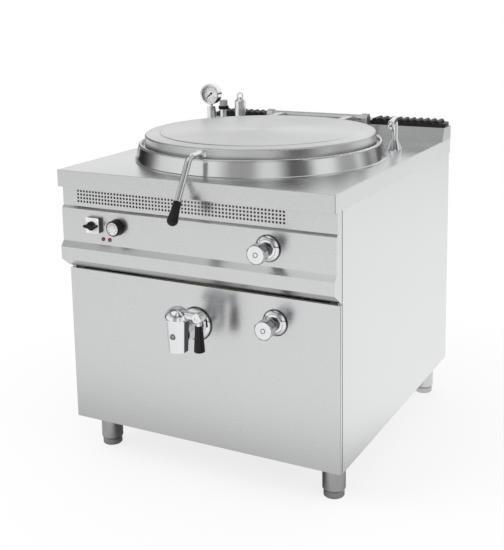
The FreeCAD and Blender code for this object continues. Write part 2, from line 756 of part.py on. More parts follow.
def floor_pan():
    half = POST_X
    front = CHEEK_Y + SEAM + PANEL_SHEET
    back = BACK_Y - PANEL_SHEET
    pan = box((-half, front, BASE_Z), (half, back, BASE_Z + PAN_LIP))
    hollow_low = (-half + PANEL_SHEET, front + PANEL_SHEET, PAN_TOP_Z)
    pan = pan.cut(box(hollow_low, (half - PANEL_SHEET, back - PANEL_SHEET, BASE_Z + PAN_LIP + OVERCUT)))
    low = BASE_Z - OVERCUT
    high = PAN_TOP_Z + OVERCUT
    inlet = rod(INLET_SHANK_R, (INLET_X, ENTRY_Y, low), (INLET_X, ENTRY_Y, high))
    gland = rod(GLAND_R, (GLAND_X, ENTRY_Y, low), (GLAND_X, ENTRY_Y, high))
    return pan.cut([inlet, gland])


# Frame, legs and feet

def post(side, inner_y, outer_y):
    """A corner post of angle section that stands on the floor pan, under the worktop."""
    near = POST_X - PANEL_SHEET - POST_SEAT
    corner_x = side * near
    inner_x = side * (near - POST_W)
    wall = POST_WALL if outer_y > inner_y else -POST_WALL
    flange = box((min(corner_x, inner_x), min(outer_y, outer_y - wall), PAN_TOP_Z),
                 (max(corner_x, inner_x), max(outer_y, outer_y - wall), UNDER_TOP_Z))
    web_x = corner_x - side * POST_WALL
    web = box((min(corner_x, web_x), min(inner_y, outer_y), PAN_TOP_Z),
              (max(corner_x, web_x), max(inner_y, outer_y), UNDER_TOP_Z))
    return flange.fuse(web)


def frame():
    front = CHEEK_Y + SEAM + 2 * PANEL_SHEET + POST_SEAT
    back = BACK_Y - 2 * PANEL_SHEET - POST_SEAT
    pieces = []
    for side in (-1, 1):
        pieces.append(post(side, front + POST_W, front))
        pieces.append(post(side, back - POST_W, back))
        outer = POST_X - PANEL_SHEET - POST_SEAT - POST_WALL
        low = (min(side * outer, side * (outer - RAIL_W)), front + POST_WALL, RAIL_Z)
        high = (max(side * outer, side * (outer - RAIL_W)), back - POST_WALL, RAIL_Z + RAIL_W)
        rail = box(low, high)
        wall = POST_WALL
        core_low = (low[0] + wall, low[1] - OVERCUT, low[2] + wall)
        core_high = (high[0] - wall, high[1] + OVERCUT, high[2] - wall)
        pieces.append(rail.cut(box(core_low, core_high)))
        for y in (-BRACKET_Y, BRACKET_Y):
            seat_low = (min(0, side * (outer - RAIL_W)), y - BRACKET_W / 2, RAIL_Z + wall)
            seat_high = (max(0, side * (outer - RAIL_W)), y + BRACKET_W / 2, RAIL_Z + wall + BRACKET_H)
            jacket = rod(JACKET_R, (0, 0, RAIL_Z - RAIL_W), (0, 0, RAIL_Z + 2 * RAIL_W))
            pieces.append(box(seat_low, seat_high).cut(jacket))
    half = POST_X - PANEL_SHEET - POST_SEAT - POST_WALL
    for y in (front, back - POST_WALL):
        low_z = CROSS_RAIL_Z
        pieces.append(box((-half, y, low_z), (half, y + POST_WALL, low_z + RAIL_W)))
    return joined(pieces)


def leg_places():
    return [(-FEET_X, LEG_FRONT_Y), (FEET_X, LEG_FRONT_Y), (-FEET_X, LEG_REAR_Y), (FEET_X, LEG_REAR_Y)]


def leg_tubes():
    bottom = FOOT_H + LEG_GAP
    plate_z = BASE_Z - LEG_PLATE
    legs = []
    for x, y in leg_places():
        leg = tube(LEG_R, LEG_R - LEG_WALL, (x, y, bottom + LEG_PLUG_H), (x, y, plate_z))
        plug = tube(LEG_R, STEM_R + RUNNING, (x, y, bottom), (x, y, bottom + LEG_PLUG_H))
        half = LEG_PLATE_W / 2
        plate = box((x - half, y - half, plate_z), (x + half, y + half, BASE_Z))
        legs.append(joined([leg, plug, plate]))
    return Part.makeCompound(legs)


def foot(x, y):
    stem_top = BASE_Z - STEM_CLEAR
    steps = [(0, 0), (FOOT_R - FOOT_CHAMFER / 2, 0), (FOOT_R, FOOT_CHAMFER / 2),
             (FOOT_R, FOOT_H - FOOT_CHAMFER),
             (FOOT_R - FOOT_CHAMFER, FOOT_H), (STEM_R, FOOT_H), (STEM_R, stem_top), (0, stem_top)]
    return turned(steps, x, y)


# Vessel, jacket and what is in it

def bowl_steps(radius, floor, knuckle, top):
    """Half section of a filled bowl with a rounded bottom corner."""
    bend = knuckle * math.sin(math.pi / 4)
    centre = (radius - knuckle, floor + knuckle)
    middle = (centre[0] + bend, centre[1] - bend)
    return [(0, floor), (centre[0], floor), [middle, (radius, centre[1])], (radius, top), (0, top)]


def vessel_outside():
    floor = VESSEL_FLOOR_Z - VESSEL_WALL
    return turned(bowl_steps(VESSEL_OUT_R, floor, VESSEL_KNUCKLE + VESSEL_WALL, RIM_Z))


def inner_vessel():
    """A rolled wall with its flange, welded to a pressed base at the top of the rounded corner."""
    inside = turned(bowl_steps(VESSEL_R, VESSEL_FLOOR_Z, VESSEL_KNUCKLE, RIM_Z + OVERCUT))
    flange = tube(VESSEL_R + VESSEL_FLANGE_W, VESSEL_R, (0, 0, RIM_Z - VESSEL_WALL), (0, 0, RIM_Z))
    drain = rod(DRAIN_BORE_R, (0, -VESSEL_R + VESSEL_KNUCKLE, DRAIN_Z), (0, -JACKET_R, DRAIN_Z))
    shell = vessel_outside().fuse(flange).cut(inside).cut(drain).removeSplitter()
    low = (0, 0, VESSEL_FLOOR_Z - VESSEL_WALL)
    base = rod(VESSEL_R + VESSEL_FLANGE_W, low, (0, 0, VESSEL_FLOOR_Z + VESSEL_KNUCKLE))
    return Part.makeCompound([shell.cut(base), shell.common(base)])


def jacket_shell():
    outside = turned(bowl_steps(JACKET_R, JACKET_BOTTOM_Z, JACKET_KNUCKLE, JACKET_TOP_Z))
    inner_r = JACKET_R - JACKET_WALL
    floor = JACKET_BOTTOM_Z + JACKET_WALL
    inside = turned(bowl_steps(inner_r, floor, JACKET_KNUCKLE - JACKET_WALL, JACKET_TOP_Z - JACKET_WALL))
    neck = rod(VESSEL_OUT_R, (0, 0, JACKET_TOP_Z - OVERCUT - JACKET_WALL), (0, 0, JACKET_TOP_Z + OVERCUT))
    drain = rod(DRAIN_PIPE_R, (0, -inner_r + JACKET_KNUCKLE, DRAIN_Z), (0, -WOOL_R, DRAIN_Z))
    level = rod(LEVEL_PIPE_R, (LEVEL_TAP_X, 0, LEVEL_TAP_Z), (LEVEL_TAP_X, -WOOL_R, LEVEL_TAP_Z))
    heater = rod(HEATER_FLANGE_R - HEATER_LAP, (0, 0, HEATER_Z), (0, WOOL_R, HEATER_Z))
    return outside.cut([inside, neck, drain, level, heater])


def insulation():
    inner_r = JACKET_R + WOOL_GAP
    low_z = JACKET_BOTTOM_Z + WOOL_BOTTOM_RISE
    wool = tube(WOOL_R, inner_r, (0, 0, low_z), (0, 0, JACKET_TOP_Z - WOOL_TOP_DROP))
    drain = rod(DRAIN_PIPE_R + WOOL_GAP, (0, 0, DRAIN_Z), (0, -2 * WOOL_R, DRAIN_Z))
    level_end = (LEVEL_TAP_X, -2 * WOOL_R, LEVEL_TAP_Z)
    level = rod(LEVEL_PIPE_R + WOOL_GAP, (LEVEL_TAP_X, 0, LEVEL_TAP_Z), level_end)
    heater = rod(HEATER_FLANGE_R + WOOL_GAP, (0, 0, HEATER_Z), (0, 2 * WOOL_R, HEATER_Z))
    cuts = [drain, level, heater]
    for y in (-BRACKET_Y, BRACKET_Y):
        half = BRACKET_W / 2 + WOOL_GAP
        low_z = RAIL_Z + POST_WALL - WOOL_GAP
        high_z = low_z + BRACKET_H + 2 * WOOL_GAP
        cuts.append(box((-HALF_W, y - half, low_z), (HALF_W, y + half, high_z)))
    return wool.cut(cuts)


def heating_elements():
    """Three open rings in the jacket water. Their ends leave through one flange at the back."""
    z = HEATER_Z
    flange_y = JACKET_R
    pieces = []
    for place in range(HEATER_COUNT):
        ring = HEATER_FIRST_R + place * HEATER_STEP
        spread = math.degrees(math.asin((HEATER_OPENING + place * HEATER_PITCH) / ring))
        centre = FreeCAD.Vector(0, 0, z)
        circle = Part.makeCircle(ring, centre, FreeCAD.Vector(0, 0, 1), spread + 90, 360 + 90 - spread)
        start = circle.Vertexes[0].Point
        section = Part.Wire(Part.makeCircle(HEATER_R, start, circle.tangentAt(circle.FirstParameter)))
        pieces.append(Part.Wire([circle]).makePipeShell([section], True, False))
        for end in circle.Vertexes:
            x = end.Point.x
            root = (x, end.Point.y - HEATER_R, z)
            pieces.append(rod(HEATER_R, root, (x, flange_y + HEATER_FLANGE_T + HEATER_TERMINAL, z)))
    flange = rod(HEATER_FLANGE_R, (0, flange_y - JACKET_WALL, z), (0, flange_y + HEATER_FLANGE_T, z))
    jacket = rod(JACKET_R, (0, 0, z - HEATER_FLANGE_R), (0, 0, z + HEATER_FLANGE_R))
    return joined(pieces + [flange.cut(jacket)])


# Collar and lid

def collar():
    z = WORKTOP_Z
    roll_r = COLLAR_RIM_R - COLLAR_ROLL_R
    roll_z = z + COLLAR_H - COLLAR_ROLL_R
    inner_roll = COLLAR_ROLL_R - COLLAR_SHEET
    steps = [(COLLAR_BASE_R - COLLAR_FOOT_W, z), (COLLAR_BASE_R, z), (COLLAR_BASE_R, z + COLLAR_BEAD_H),
             (COLLAR_BASE_R - COLLAR_BEAD_W, z + COLLAR_BEAD_H + COLLAR_SHEET), (COLLAR_RIM_R, roll_z),
             [(roll_r, roll_z + COLLAR_ROLL_R), (roll_r - COLLAR_ROLL_R, roll_z)],
             (roll_r - COLLAR_ROLL_R, GUTTER_Z), (GUTTER_IN_R, GUTTER_Z), (GUTTER_IN_R, RIM_Z),
             (roll_r - inner_roll, RIM_Z), (roll_r - inner_roll, roll_z),
             [(roll_r, roll_z + inner_roll), (roll_r + inner_roll, roll_z)],
             (COLLAR_BASE_R - COLLAR_BEAD_W - COLLAR_SHEET, z + COLLAR_BEAD_H + COLLAR_SHEET),
             (COLLAR_BASE_R - COLLAR_BEAD_W - COLLAR_SHEET, z + COLLAR_SHEET),
             (COLLAR_BASE_R - COLLAR_FOOT_W, z + COLLAR_SHEET)]
    return turned(steps)


def lid_shell():
    top = WORKTOP_Z + LID_RISE
    low = GUTTER_Z + LID_SEAT
    flat_r = LID_R - LID_EDGE_R
    bend = LID_EDGE_R * math.sin(math.pi / 4)
    step_z = top + LID_SLOPE
    plate_z = step_z + LID_STEP_H
    steps = [(LID_R, low), (LID_R, top - LID_EDGE_R),
             [(flat_r + bend, top - LID_EDGE_R + bend), (flat_r, top)],
             (LID_STEP_R, step_z), (LID_STEP_R - LID_STEP_W, plate_z), (0, plate_z + LID_CROWN),
             (0, plate_z + LID_CROWN - LID_SHEET), (LID_STEP_R - LID_STEP_W, plate_z - LID_SHEET),
             (LID_STEP_R, step_z - LID_SHEET), (flat_r, top - LID_SHEET),
             (LID_R - LID_SHEET, top - LID_EDGE_R), (LID_R - LID_SHEET, low)]
    return turned(steps)


def lid_liner():
    radius = LID_R - LID_SHEET
    low = WORKTOP_Z + LINER_RISE
    dip = low - LINER_DIP
    dish_r = LID_R - LINER_BORDER
    steps = [(0, dip), (dish_r, low), (radius, low), (radius, low + LINER_FLANGE),
             (radius - LINER_SHEET, low + LINER_FLANGE), (radius - LINER_SHEET, low + LINER_SHEET),
             (dish_r, low + LINER_SHEET), (0, dip + LINER_SHEET)]
    return turned(steps)


def lid_hinge():
    """The tube that turns on the bracket pins, with its two arms welded to the lid's edge."""
    end = BRACKET_X - SIDE_GAP
    shaft = rod(HINGE_TUBE_R, (-end, HINGE_Y, HINGE_Z), (end, HINGE_Y, HINGE_Z))
    bore = HINGE_PIN_R + RUNNING
    depth = HINGE_PIN_REACH + OVERCUT
    lid = rod(LID_R, (0, 0, WORKTOP_Z), (0, 0, WORKTOP_Z + 2 * LID_RISE))
    arms = []
    sockets = []
    for side in (-1, 1):
        low_x = min(side * ARM_X, side * (ARM_X + ARM_W))
        bar = box((low_x, 0, HINGE_Z - ARM_H / 2), (low_x + ARM_W, HINGE_Y, HINGE_Z + ARM_H / 2))
        arms.append(bar.cut(lid))
        inner = (side * (end - depth), HINGE_Y, HINGE_Z)
        sockets.append(rod(bore, inner, (side * (end + OVERCUT), HINGE_Y, HINGE_Z)))
    return joined([shaft] + arms).cut(sockets)


def hinge_brackets():
    """Uprights that carry the lid: a foot plate, a web with a round head, and a pin."""
    pieces = []
    for side in (-1, 1):
        inner = side * BRACKET_X
        outer = side * (BRACKET_X + BRACKET_T)
        low_x, high_x = min(inner, outer), max(inner, outer)
        front = HINGE_Y - BRACKET_FOOT_D / 2
        back = HINGE_Y + BRACKET_HEAD_R
        plate = box((low_x, front, WORKTOP_Z), (high_x, back, WORKTOP_Z + BRACKET_FOOT_H))
        web = box((low_x, HINGE_Y - BRACKET_HEAD_R, WORKTOP_Z), (high_x, back, HINGE_Z))
        head = rod(BRACKET_HEAD_R, (low_x, HINGE_Y, HINGE_Z), (high_x, HINGE_Y, HINGE_Z))
        pin = rod(HINGE_PIN_R, (outer, HINGE_Y, HINGE_Z), (inner - side * HINGE_PIN_REACH, HINGE_Y, HINGE_Z))
        pieces.append(joined([plate, web, head, pin]))
    return Part.makeCompound(pieces)


def handle_lean():
    """The way that the handle's lower length points."""
    return (vector(HANDLE_NECK) - vector(HANDLE_CORNER)).normalize()


def lid_handle():
    end = vector(HANDLE_NECK) + handle_lean() * GRIP_SOCKET
    start = (0, -LID_R + LID_EDGE_R, HANDLE_Z)
    bar = swept(HANDLE_R, [start, HANDLE_CORNER, tuple(end)], HANDLE_BEND_R)
    half = HANDLE_R + SEAM
    pad_low = (-HANDLE_PAD_R, -LID_R - HANDLE_PAD_T, HANDLE_Z - half)
    pad = box(pad_low, (HANDLE_PAD_R, -LID_R / 2, HANDLE_Z + half))
    pad = pad.makeFillet(HANDLE_R / 2, edges_along(pad, FreeCAD.Vector(0, 1, 0), lambda c: True))
    lid = rod(LID_R, (0, 0, WORKTOP_Z), (0, 0, WORKTOP_Z + 2 * LID_RISE))
    return joined([bar, pad]).cut(lid)


def lid_grip():
    shoulder = GRIP_LENGTH - GRIP_END_R
    bend = GRIP_END_R * math.sin(math.pi / 4)
    steps = [(0, 0), (GRIP_NECK_R, 0), [(GRIP_WAIST_R, shoulder / 2), (GRIP_END_R, shoulder)],
             [(bend, shoulder + bend), (0, GRIP_LENGTH)]]
    grip = turned(steps).cut(rod(HANDLE_R, (0, 0, -OVERCUT), (0, 0, GRIP_SOCKET)))
    turn = FreeCAD.Rotation(FreeCAD.Vector(0, 0, 1), handle_lean())
    grip.Placement = FreeCAD.Placement(vector(HANDLE_NECK), turn)
    return grip


# Drain tap

def drain_pipe():
    back = VESSEL_R - 2 * VESSEL_KNUCKLE
    pipe = tube(DRAIN_PIPE_R, DRAIN_BORE_R, (0, -back, DRAIN_Z), (0, TAP_Y + SOCKET_LENGTH, DRAIN_Z))
    return pipe.cut(vessel_outside())


def drain_strainer():
    """Cap with holes that is pushed into the outlet from inside the vessel."""
    y = -VESSEL_R + VESSEL_KNUCKLE
    radius = DRAIN_BORE_R - SIDE_GAP
    tail = (0, y - VESSEL_KNUCKLE - VESSEL_WALL, DRAIN_Z)
    skirt = tube(radius, radius - COLLAR_SHEET, (0, y, DRAIN_Z), tail)
    cap = rod(radius, (0, y, DRAIN_Z), (0, y + COLLAR_SHEET, DRAIN_Z))
    near = y - OVERCUT
    far = y + 2 * OVERCUT
    holes = [rod(STRAINER_HOLE_R, (0, near, DRAIN_Z), (0, far, DRAIN_Z))]
    for count, ring in STRAINER_RINGS:
        for step in range(count):
            angle = 2 * math.pi * step / count
            x = ring * math.cos(angle)
            z = DRAIN_Z + ring * math.sin(angle)
            holes.append(rod(STRAINER_HOLE_R, (x, near, z), (x, far, z)))
    return cap.fuse(skirt).cut(holes).removeSplitter()


def rosette(x, y, z, bore, radius):
    """Domed ring that covers the hole in the panel round a pipe or bonnet."""
    throat = bore + ROSETTE_LAND
    shoulder = ((radius + throat) / 2, ROSETTE_H * ROSETTE_HOLLOW)
    steps = [(bore, 0), (radius, 0), (radius, ROSETTE_EDGE), [shoulder, (throat, ROSETTE_H)],
             (bore, ROSETTE_H)]
    return to_front(turned(steps), x, y, z)


def drain_rosette():
    return rosette(0, PANEL_Y, DRAIN_Z, DRAIN_PIPE_R, DRAIN_ROSETTE_R)


def spout_taper(low, high):
    """The eight-sided taper of the spout, on the tap's axis."""
    rings = []
    for flat, z in ((SPOUT_END_FLAT, low), (SPOUT_TOP_FLAT, high)):
        corner = flat / math.cos(math.pi / SPOUT_SIDES)
        points = []
        for side in range(SPOUT_SIDES):
            angle = math.pi * (2 * side + 1) / SPOUT_SIDES
            points.append(FreeCAD.Vector(corner * math.cos(angle), TAP_Y + corner * math.sin(angle), z))
        rings.append(Part.makePolygon(points + [points[0]]))
    return Part.makeLoft(rings, True, True)


def screw_plug_recess(low):
    """Ring groove and shallow sink of the screw plug on the spout's front face."""
    z = DRAIN_Z + SCREW_PLUG_RISE
    share = (z - low) / (SPOUT_TOP_Z - low)
    face_y = TAP_Y - SPOUT_END_FLAT - share * (SPOUT_TOP_FLAT - SPOUT_END_FLAT)
    near = (0, face_y - SPOUT_END_FLAT, z)
    groove = tube(SCREW_PLUG_R, SCREW_PLUG_R - SCREW_PLUG_GROOVE, near, (0, face_y + SCREW_PLUG_DEPTH, z))
    return groove.fuse(rod(SCREW_PLUG_R, near, (0, face_y + SCREW_PLUG_SUNK, z)))


def drain_valve_body():
    """Pipe socket, eight-sided spout and plug chamber of the drain tap."""
    low = DRAIN_Z - SPOUT_DROP
    body = spout_taper(low, SPOUT_TOP_Z)
    root = (0, TAP_Y + SPOUT_END_FLAT / 2, DRAIN_Z)
    arm = rod(SOCKET_R, root, (0, PANEL_Y - ROSETTE_H - SEAM, DRAIN_Z))
    chamber = rod(PLUG_R + RUNNING, (0, TAP_Y, DRAIN_Z - PLUG_DROP), (0, TAP_Y, SPOUT_TOP_Z + OVERCUT))
    outlet = rod(OUTLET_R, (0, TAP_Y, low - OVERCUT), (0, TAP_Y, DRAIN_Z - PLUG_DROP))
    seat = rod(DRAIN_PIPE_R, (0, TAP_Y + SOCKET_LENGTH, DRAIN_Z), (0, 0, DRAIN_Z))
    throat = rod(PORT_R, (0, TAP_Y, DRAIN_Z), (0, 0, DRAIN_Z))
    cuts = [chamber, outlet, seat, throat, screw_plug_recess(low)]
    return body.fuse(arm).cut(cuts).removeSplitter()


def drain_plug():
    """Quarter-turn plug: the port points to the left when shut and to the pipe when open."""
    low = DRAIN_Z - PLUG_DROP
    plug = rod(PLUG_R, (0, TAP_Y, low), (0, TAP_Y, DOME_Z))
    well = rod(PORT_R, (0, TAP_Y, low - OVERCUT), (0, TAP_Y, DRAIN_Z + PORT_R))
    port = rod(PORT_R, (0, TAP_Y, DRAIN_Z), (-2 * PLUG_R, TAP_Y, DRAIN_Z))
    return plug.cut([well, port])


def drain_lever():
    """Domed hub on the plug, with a level arm whose end boss carries the grip beside the spout."""
    shoulder = DOME_Z + DOME_SKIRT
    crown = DOME_Z + DOME_H
    rise = crown - shoulder
    sphere = (DOME_R ** 2 + rise ** 2) / (2 * rise)
    middle = (DOME_R / 2, crown - sphere + math.sqrt(sphere ** 2 - DOME_R ** 2 / 4))
    dome = turned([(0, DOME_Z), (DOME_R, DOME_Z), (DOME_R, shoulder), [middle, (0, crown)]], 0, TAP_Y)
    notch_low = (-NOTCH_W / 2, TAP_Y - 2 * DOME_R, DOME_Z - OVERCUT)
    notch = box(notch_low, (NOTCH_W / 2, TAP_Y - DOME_R + NOTCH_DEPTH, DOME_Z + NOTCH_H))
    peg_y = TAP_Y - DOME_R + NOTCH_DEPTH - NOTCH_PEG_R / 2
    peg = rod(NOTCH_PEG_R, (0, peg_y, DOME_Z), (0, peg_y, DOME_Z + NOTCH_H + SEAM))
    for shape in (notch, peg):
        shape.rotate(FreeCAD.Vector(0, TAP_Y, 0), FreeCAD.Vector(0, 0, 1), NOTCH_DEG)
    arm = rod(ARM_R, (0, TAP_Y, LEVER_Z), (ARM_REACH, TAP_Y, LEVER_Z))
    eye = BOSS_R - BOSS_CHAMFER
    half = BOSS_HALF_L
    boss = turned([(0, -half), (eye, -half), (BOSS_R, BOSS_CHAMFER - half), (BOSS_R, half - BOSS_CHAMFER),
                   (eye, half), (BOSS_EYE_R, half), (BOSS_EYE_R - BOSS_EYE_DEPTH, half - BOSS_EYE_DEPTH),
                   (0, half - BOSS_EYE_DEPTH)])
    boss = to_front(boss, ARM_REACH, TAP_Y, LEVER_Z)
    neck = rod(LEVER_NECK_R, (ARM_REACH, TAP_Y, LEVER_Z), (ARM_REACH, TAP_Y, SPOUT_TOP_Z - LEVER_NECK_DROP))
    return joined([dome.cut(notch), peg, arm, boss, neck])


def drain_grip():
    top = SPOUT_TOP_Z - LEVER_NECK_DROP
    low = SPOUT_TOP_Z - LEVER_GRIP_DROP
    edge = LEVER_GRIP_EDGE
    bend = edge * (1 - math.sin(math.pi / 4))
    steps = [(0, top), (LEVER_GRIP_NECK_R - SEAM, top), (LEVER_GRIP_NECK_R, top - SEAM),
             (LEVER_GRIP_END_R, low + edge),
             [(LEVER_GRIP_END_R - bend, low + bend), (LEVER_GRIP_END_R - edge, low)], (0, low)]
    return turned(steps, ARM_REACH, TAP_Y)


# Water taps

def tap_rosettes():
    fill = rosette(FILL_TAP_X, FACE_Y, FILL_TAP_Z, BONNET_R, ROSETTE_R)
    level = rosette(LEVEL_TAP_X, PANEL_Y, LEVEL_TAP_Z, BONNET_R, ROSETTE_R)
    return Part.makeCompound([fill, level])


def bonnet(x, y, z):
    """Tap bonnet from behind the panel to under the knob, with a nut, a neck and a spindle bore."""
    nut_low = ROSETTE_H + SEAM
    nut_high = nut_low + BONNET_NUT_H
    shank = rod(BONNET_R, (0, 0, -BONNET_SHANK), (0, 0, nut_low))
    nut = prism(HEX_SIDES, BONNET_NUT_FLAT, nut_low, nut_high)
    neck = rod(BONNET_NECK_R, (0, 0, nut_high), (0, 0, BONNET_REACH))
    bore = rod(SPINDLE_R + RUNNING, (0, 0, 0), (0, 0, BONNET_REACH + OVERCUT))
    return to_front(joined([shank, nut, neck]).cut(bore), x, y, z)


def fill_tap_valve():
    x = FILL_TAP_X
    z = FILL_TAP_Z
    chest = rod(VALVE_BODY_R, (x, SUPPLY_Y, z - VALVE_BODY_R), (x, SUPPLY_Y, z + VALVE_BODY_R))
    link = rod(BONNET_R - SEAM, (x, FACE_Y + BONNET_SHANK, z), (x, SUPPLY_Y, z))
    return joined([bonnet(x, FACE_Y, z), link, chest])


def level_tap_valve():
    """Level tap with its pipe to the jacket."""
    x = LEVEL_TAP_X
    z = LEVEL_TAP_Z
    pipe = rod(LEVEL_PIPE_R, (x, PANEL_Y + BONNET_SHANK, z), (x, 0, z))
    inside = rod(JACKET_R - JACKET_WALL, (0, 0, z - SOCKET_R), (0, 0, z + SOCKET_R))
    return joined([bonnet(x, PANEL_Y, z), pipe.cut(inside)])


def tap_knob(x, y, z):
    """Eight-sided chrome hand knob with a ring on its face, and its spindle."""
    back = KNOB_REACH - KNOB_LENGTH
    crown = KNOB_REACH - KNOB_CROWN
    steps = [(0, back), (KNOB_NECK_R, back), (KNOB_R, back + KNOB_SHOULDER), (KNOB_R, crown),
             (KNOB_R - KNOB_CROWN, KNOB_REACH - KNOB_CROWN / 3), (KNOB_RING_R, KNOB_REACH), (0, KNOB_REACH)]
    knob = turned(steps).common(prism(KNOB_SIDES, KNOB_FLAT, back, KNOB_REACH))
    low = KNOB_REACH - KNOB_RING_DEPTH
    ring = tube(KNOB_RING_R, KNOB_RING_R - KNOB_RING_W, (0, 0, low), (0, 0, KNOB_REACH + OVERCUT))
    spindle = rod(SPINDLE_R, (0, 0, ROSETTE_EDGE), (0, 0, back + OVERCUT))
    return to_front(joined([knob.cut(ring), spindle]), x, y, z)


# Switch, thermostat and lamps

def switch_plate():
    """Raised square plate with a sunk face inside a narrow rim."""
    half = SWITCH_PLATE_W / 2
    plate = box((SWITCH_X - half, PLATE_Y, SWITCH_Z - half), (SWITCH_X + half, FACE_Y, SWITCH_Z + half))
    plate = plate.makeFillet(SWITCH_CORNER_R, edges_along(plate, FreeCAD.Vector(0, 1, 0), lambda c: True))
    inner = half - SWITCH_RIM
    near = PLATE_Y - OVERCUT
    low = (SWITCH_X - inner, near, SWITCH_Z - inner)
    sink = box(low, (SWITCH_X + inner, PLATE_Y + SWITCH_RIM_DEPTH, SWITCH_Z + inner))
    bore = rod(SWITCH_SPINDLE_R + RUNNING, (SWITCH_X, near, SWITCH_Z), (SWITCH_X, FACE_Y, SWITCH_Z))
    return plate.cut([sink, bore])


def switch_knob():
    """Round boss with a bar that is wide in the middle and narrow at its ends."""
    low = KNOB_GAP
    boss = rod(SWITCH_KNOB_R, (0, 0, low), (0, 0, SWITCH_KNOB_H))
    half = SWITCH_BAR_L / 2
    tip = SWITCH_BAR_TIP
    side = SWITCH_BAR_W / 2
    steps = [(-half, -tip), [(0, -side), (half, -tip)], (half, tip), [(0, side), (-half, tip)]]
    face = outline(steps, lambda p: FreeCAD.Vector(p[0], p[1], low))
    bar = face.extrude(FreeCAD.Vector(0, 0, SWITCH_BAR_H - low))
    spindle = rod(SWITCH_SPINDLE_R, (0, 0, -SWITCH_PLATE_T - PANEL_SHEET - OVERCUT), (0, 0, SWITCH_KNOB_H))
    return to_front(joined([boss, bar, spindle]), SWITCH_X, PLATE_Y, SWITCH_Z)


def switch_block():
    half = SWITCH_BLOCK_W / 2
    near = FACE_Y + PANEL_SHEET
    low = (SWITCH_X - half, near, SWITCH_Z - half)
    block = box(low, (SWITCH_X + half, near + SWITCH_BLOCK_D, SWITCH_Z + half))
    bore_end = (SWITCH_X, near + 2 * OVERCUT, SWITCH_Z)
    return block.cut(rod(SWITCH_SPINDLE_R + RUNNING, (SWITCH_X, near - OVERCUT, SWITCH_Z), bore_end))


def thermostat_knob():
    top_r = THERMOSTAT_KNOB_R - THERMOSTAT_TAPER
    steps = [(0, KNOB_GAP), (THERMOSTAT_KNOB_R, KNOB_GAP), (top_r, THERMOSTAT_KNOB_H - THERMOSTAT_TAPER),
             (THERMOSTAT_FACE_R + THERMOSTAT_RIM, THERMOSTAT_KNOB_H),
             (THERMOSTAT_FACE_R, THERMOSTAT_KNOB_H - THERMOSTAT_RIM), (0, THERMOSTAT_KNOB_H - THERMOSTAT_RIM)]
    knob = turned(steps)
    flutes = []
    for flute in range(THERMOSTAT_FLUTES):
        angle = 2 * math.pi * flute / THERMOSTAT_FLUTES
        x = THERMOSTAT_KNOB_R * math.cos(angle)
        y = THERMOSTAT_KNOB_R * math.sin(angle)
        flutes.append(rod(THERMOSTAT_FLUTE_R, (x, y, 2 * OVERCUT), (x, y, THERMOSTAT_KNOB_H + OVERCUT)))
    spindle = rod(SWITCH_SPINDLE_R, (0, 0, -PANEL_SHEET - OVERCUT), (0, 0, THERMOSTAT_KNOB_H / 2))
    return to_front(joined([knob.cut(flutes), spindle]), THERMOSTAT_X, FACE_Y, SWITCH_Z)


def thermostat_block():
    near = FACE_Y + PANEL_SHEET
    far = near + THERMOSTAT_BLOCK_D
    body = rod(THERMOSTAT_BLOCK_R, (THERMOSTAT_X, near, SWITCH_Z), (THERMOSTAT_X, far, SWITCH_Z))
    bore_end = (THERMOSTAT_X, near + 2 * OVERCUT, SWITCH_Z)
    return body.cut(rod(SWITCH_SPINDLE_R + RUNNING, (THERMOSTAT_X, near - OVERCUT, SWITCH_Z), bore_end))


def lamp_places():
    return [SWITCH_X + step for step in LAMP_STEPS]


def pilot_lamps():
    lamps = []
    for x in lamp_places():
        back = -PANEL_SHEET - LAMP_BODY_D
        lens = [(0, back), (LAMP_BODY_R, back), (LAMP_BODY_R, -PANEL_SHEET), (LAMP_R, -PANEL_SHEET),
                (LAMP_R, LAMP_PROUD / 2), (LAMP_FLAT, LAMP_PROUD), (0, LAMP_PROUD)]
        lamps.append(to_front(turned(lens), x, FACE_Y, LAMP_Z))
    return Part.makeCompound(lamps)


# Gauge, vent valve and safety valve

def gauge_stem():
    top = WORKTOP_Z + GAUGE_POST_H
    middle = WORKTOP_Z + GAUGE_RISE
    post_part = rod(GAUGE_POST_R, (GAUGE_X, FITTINGS_Y, WORKTOP_Z), (GAUGE_X, FITTINGS_Y, top))
    neck = rod(GAUGE_NECK_R, (GAUGE_X, FITTINGS_Y, top), (GAUGE_X, FITTINGS_Y, middle))
    front = (GAUGE_X, FITTINGS_Y - GAUGE_DEPTH, middle)
    case = rod(GAUGE_R, front, (GAUGE_X, FITTINGS_Y + GAUGE_DEPTH, middle))
    return joined([threaded_foot(GAUGE_X, FITTINGS_Y), post_part, neck.cut(case)])


def on_gauge(shape):
    """Places a shape made along +Z at the gauge's middle, facing the user."""
    return to_front(shape, GAUGE_X, FITTINGS_Y, WORKTOP_Z + GAUGE_RISE)


def gauge_case():
    """Round case with a rolled bezel, open at the front for the glass."""
    back = -GAUGE_DEPTH / 2
    front = GAUGE_DEPTH / 2
    inner = GAUGE_R - GAUGE_WALL
    corner = GAUGE_R - GAUGE_LIP
    bend = GAUGE_LIP * math.sin(math.pi / 4)
    seat = front - GAUGE_DIAL_BACK - GAUGE_DIAL_T
    steps = [(0, back), (corner, back),
             [(corner + bend, back + GAUGE_LIP - bend), (GAUGE_R, back + GAUGE_LIP)],
             (GAUGE_R, front - GAUGE_LIP), [(corner + bend, front - GAUGE_LIP + bend), (corner, front)],
             (inner - GAUGE_LIP, front), (inner - GAUGE_LIP, front - SEAM), (inner, front - SEAM),
             (inner, seat), (0, seat)]
    return on_gauge(turned(steps))


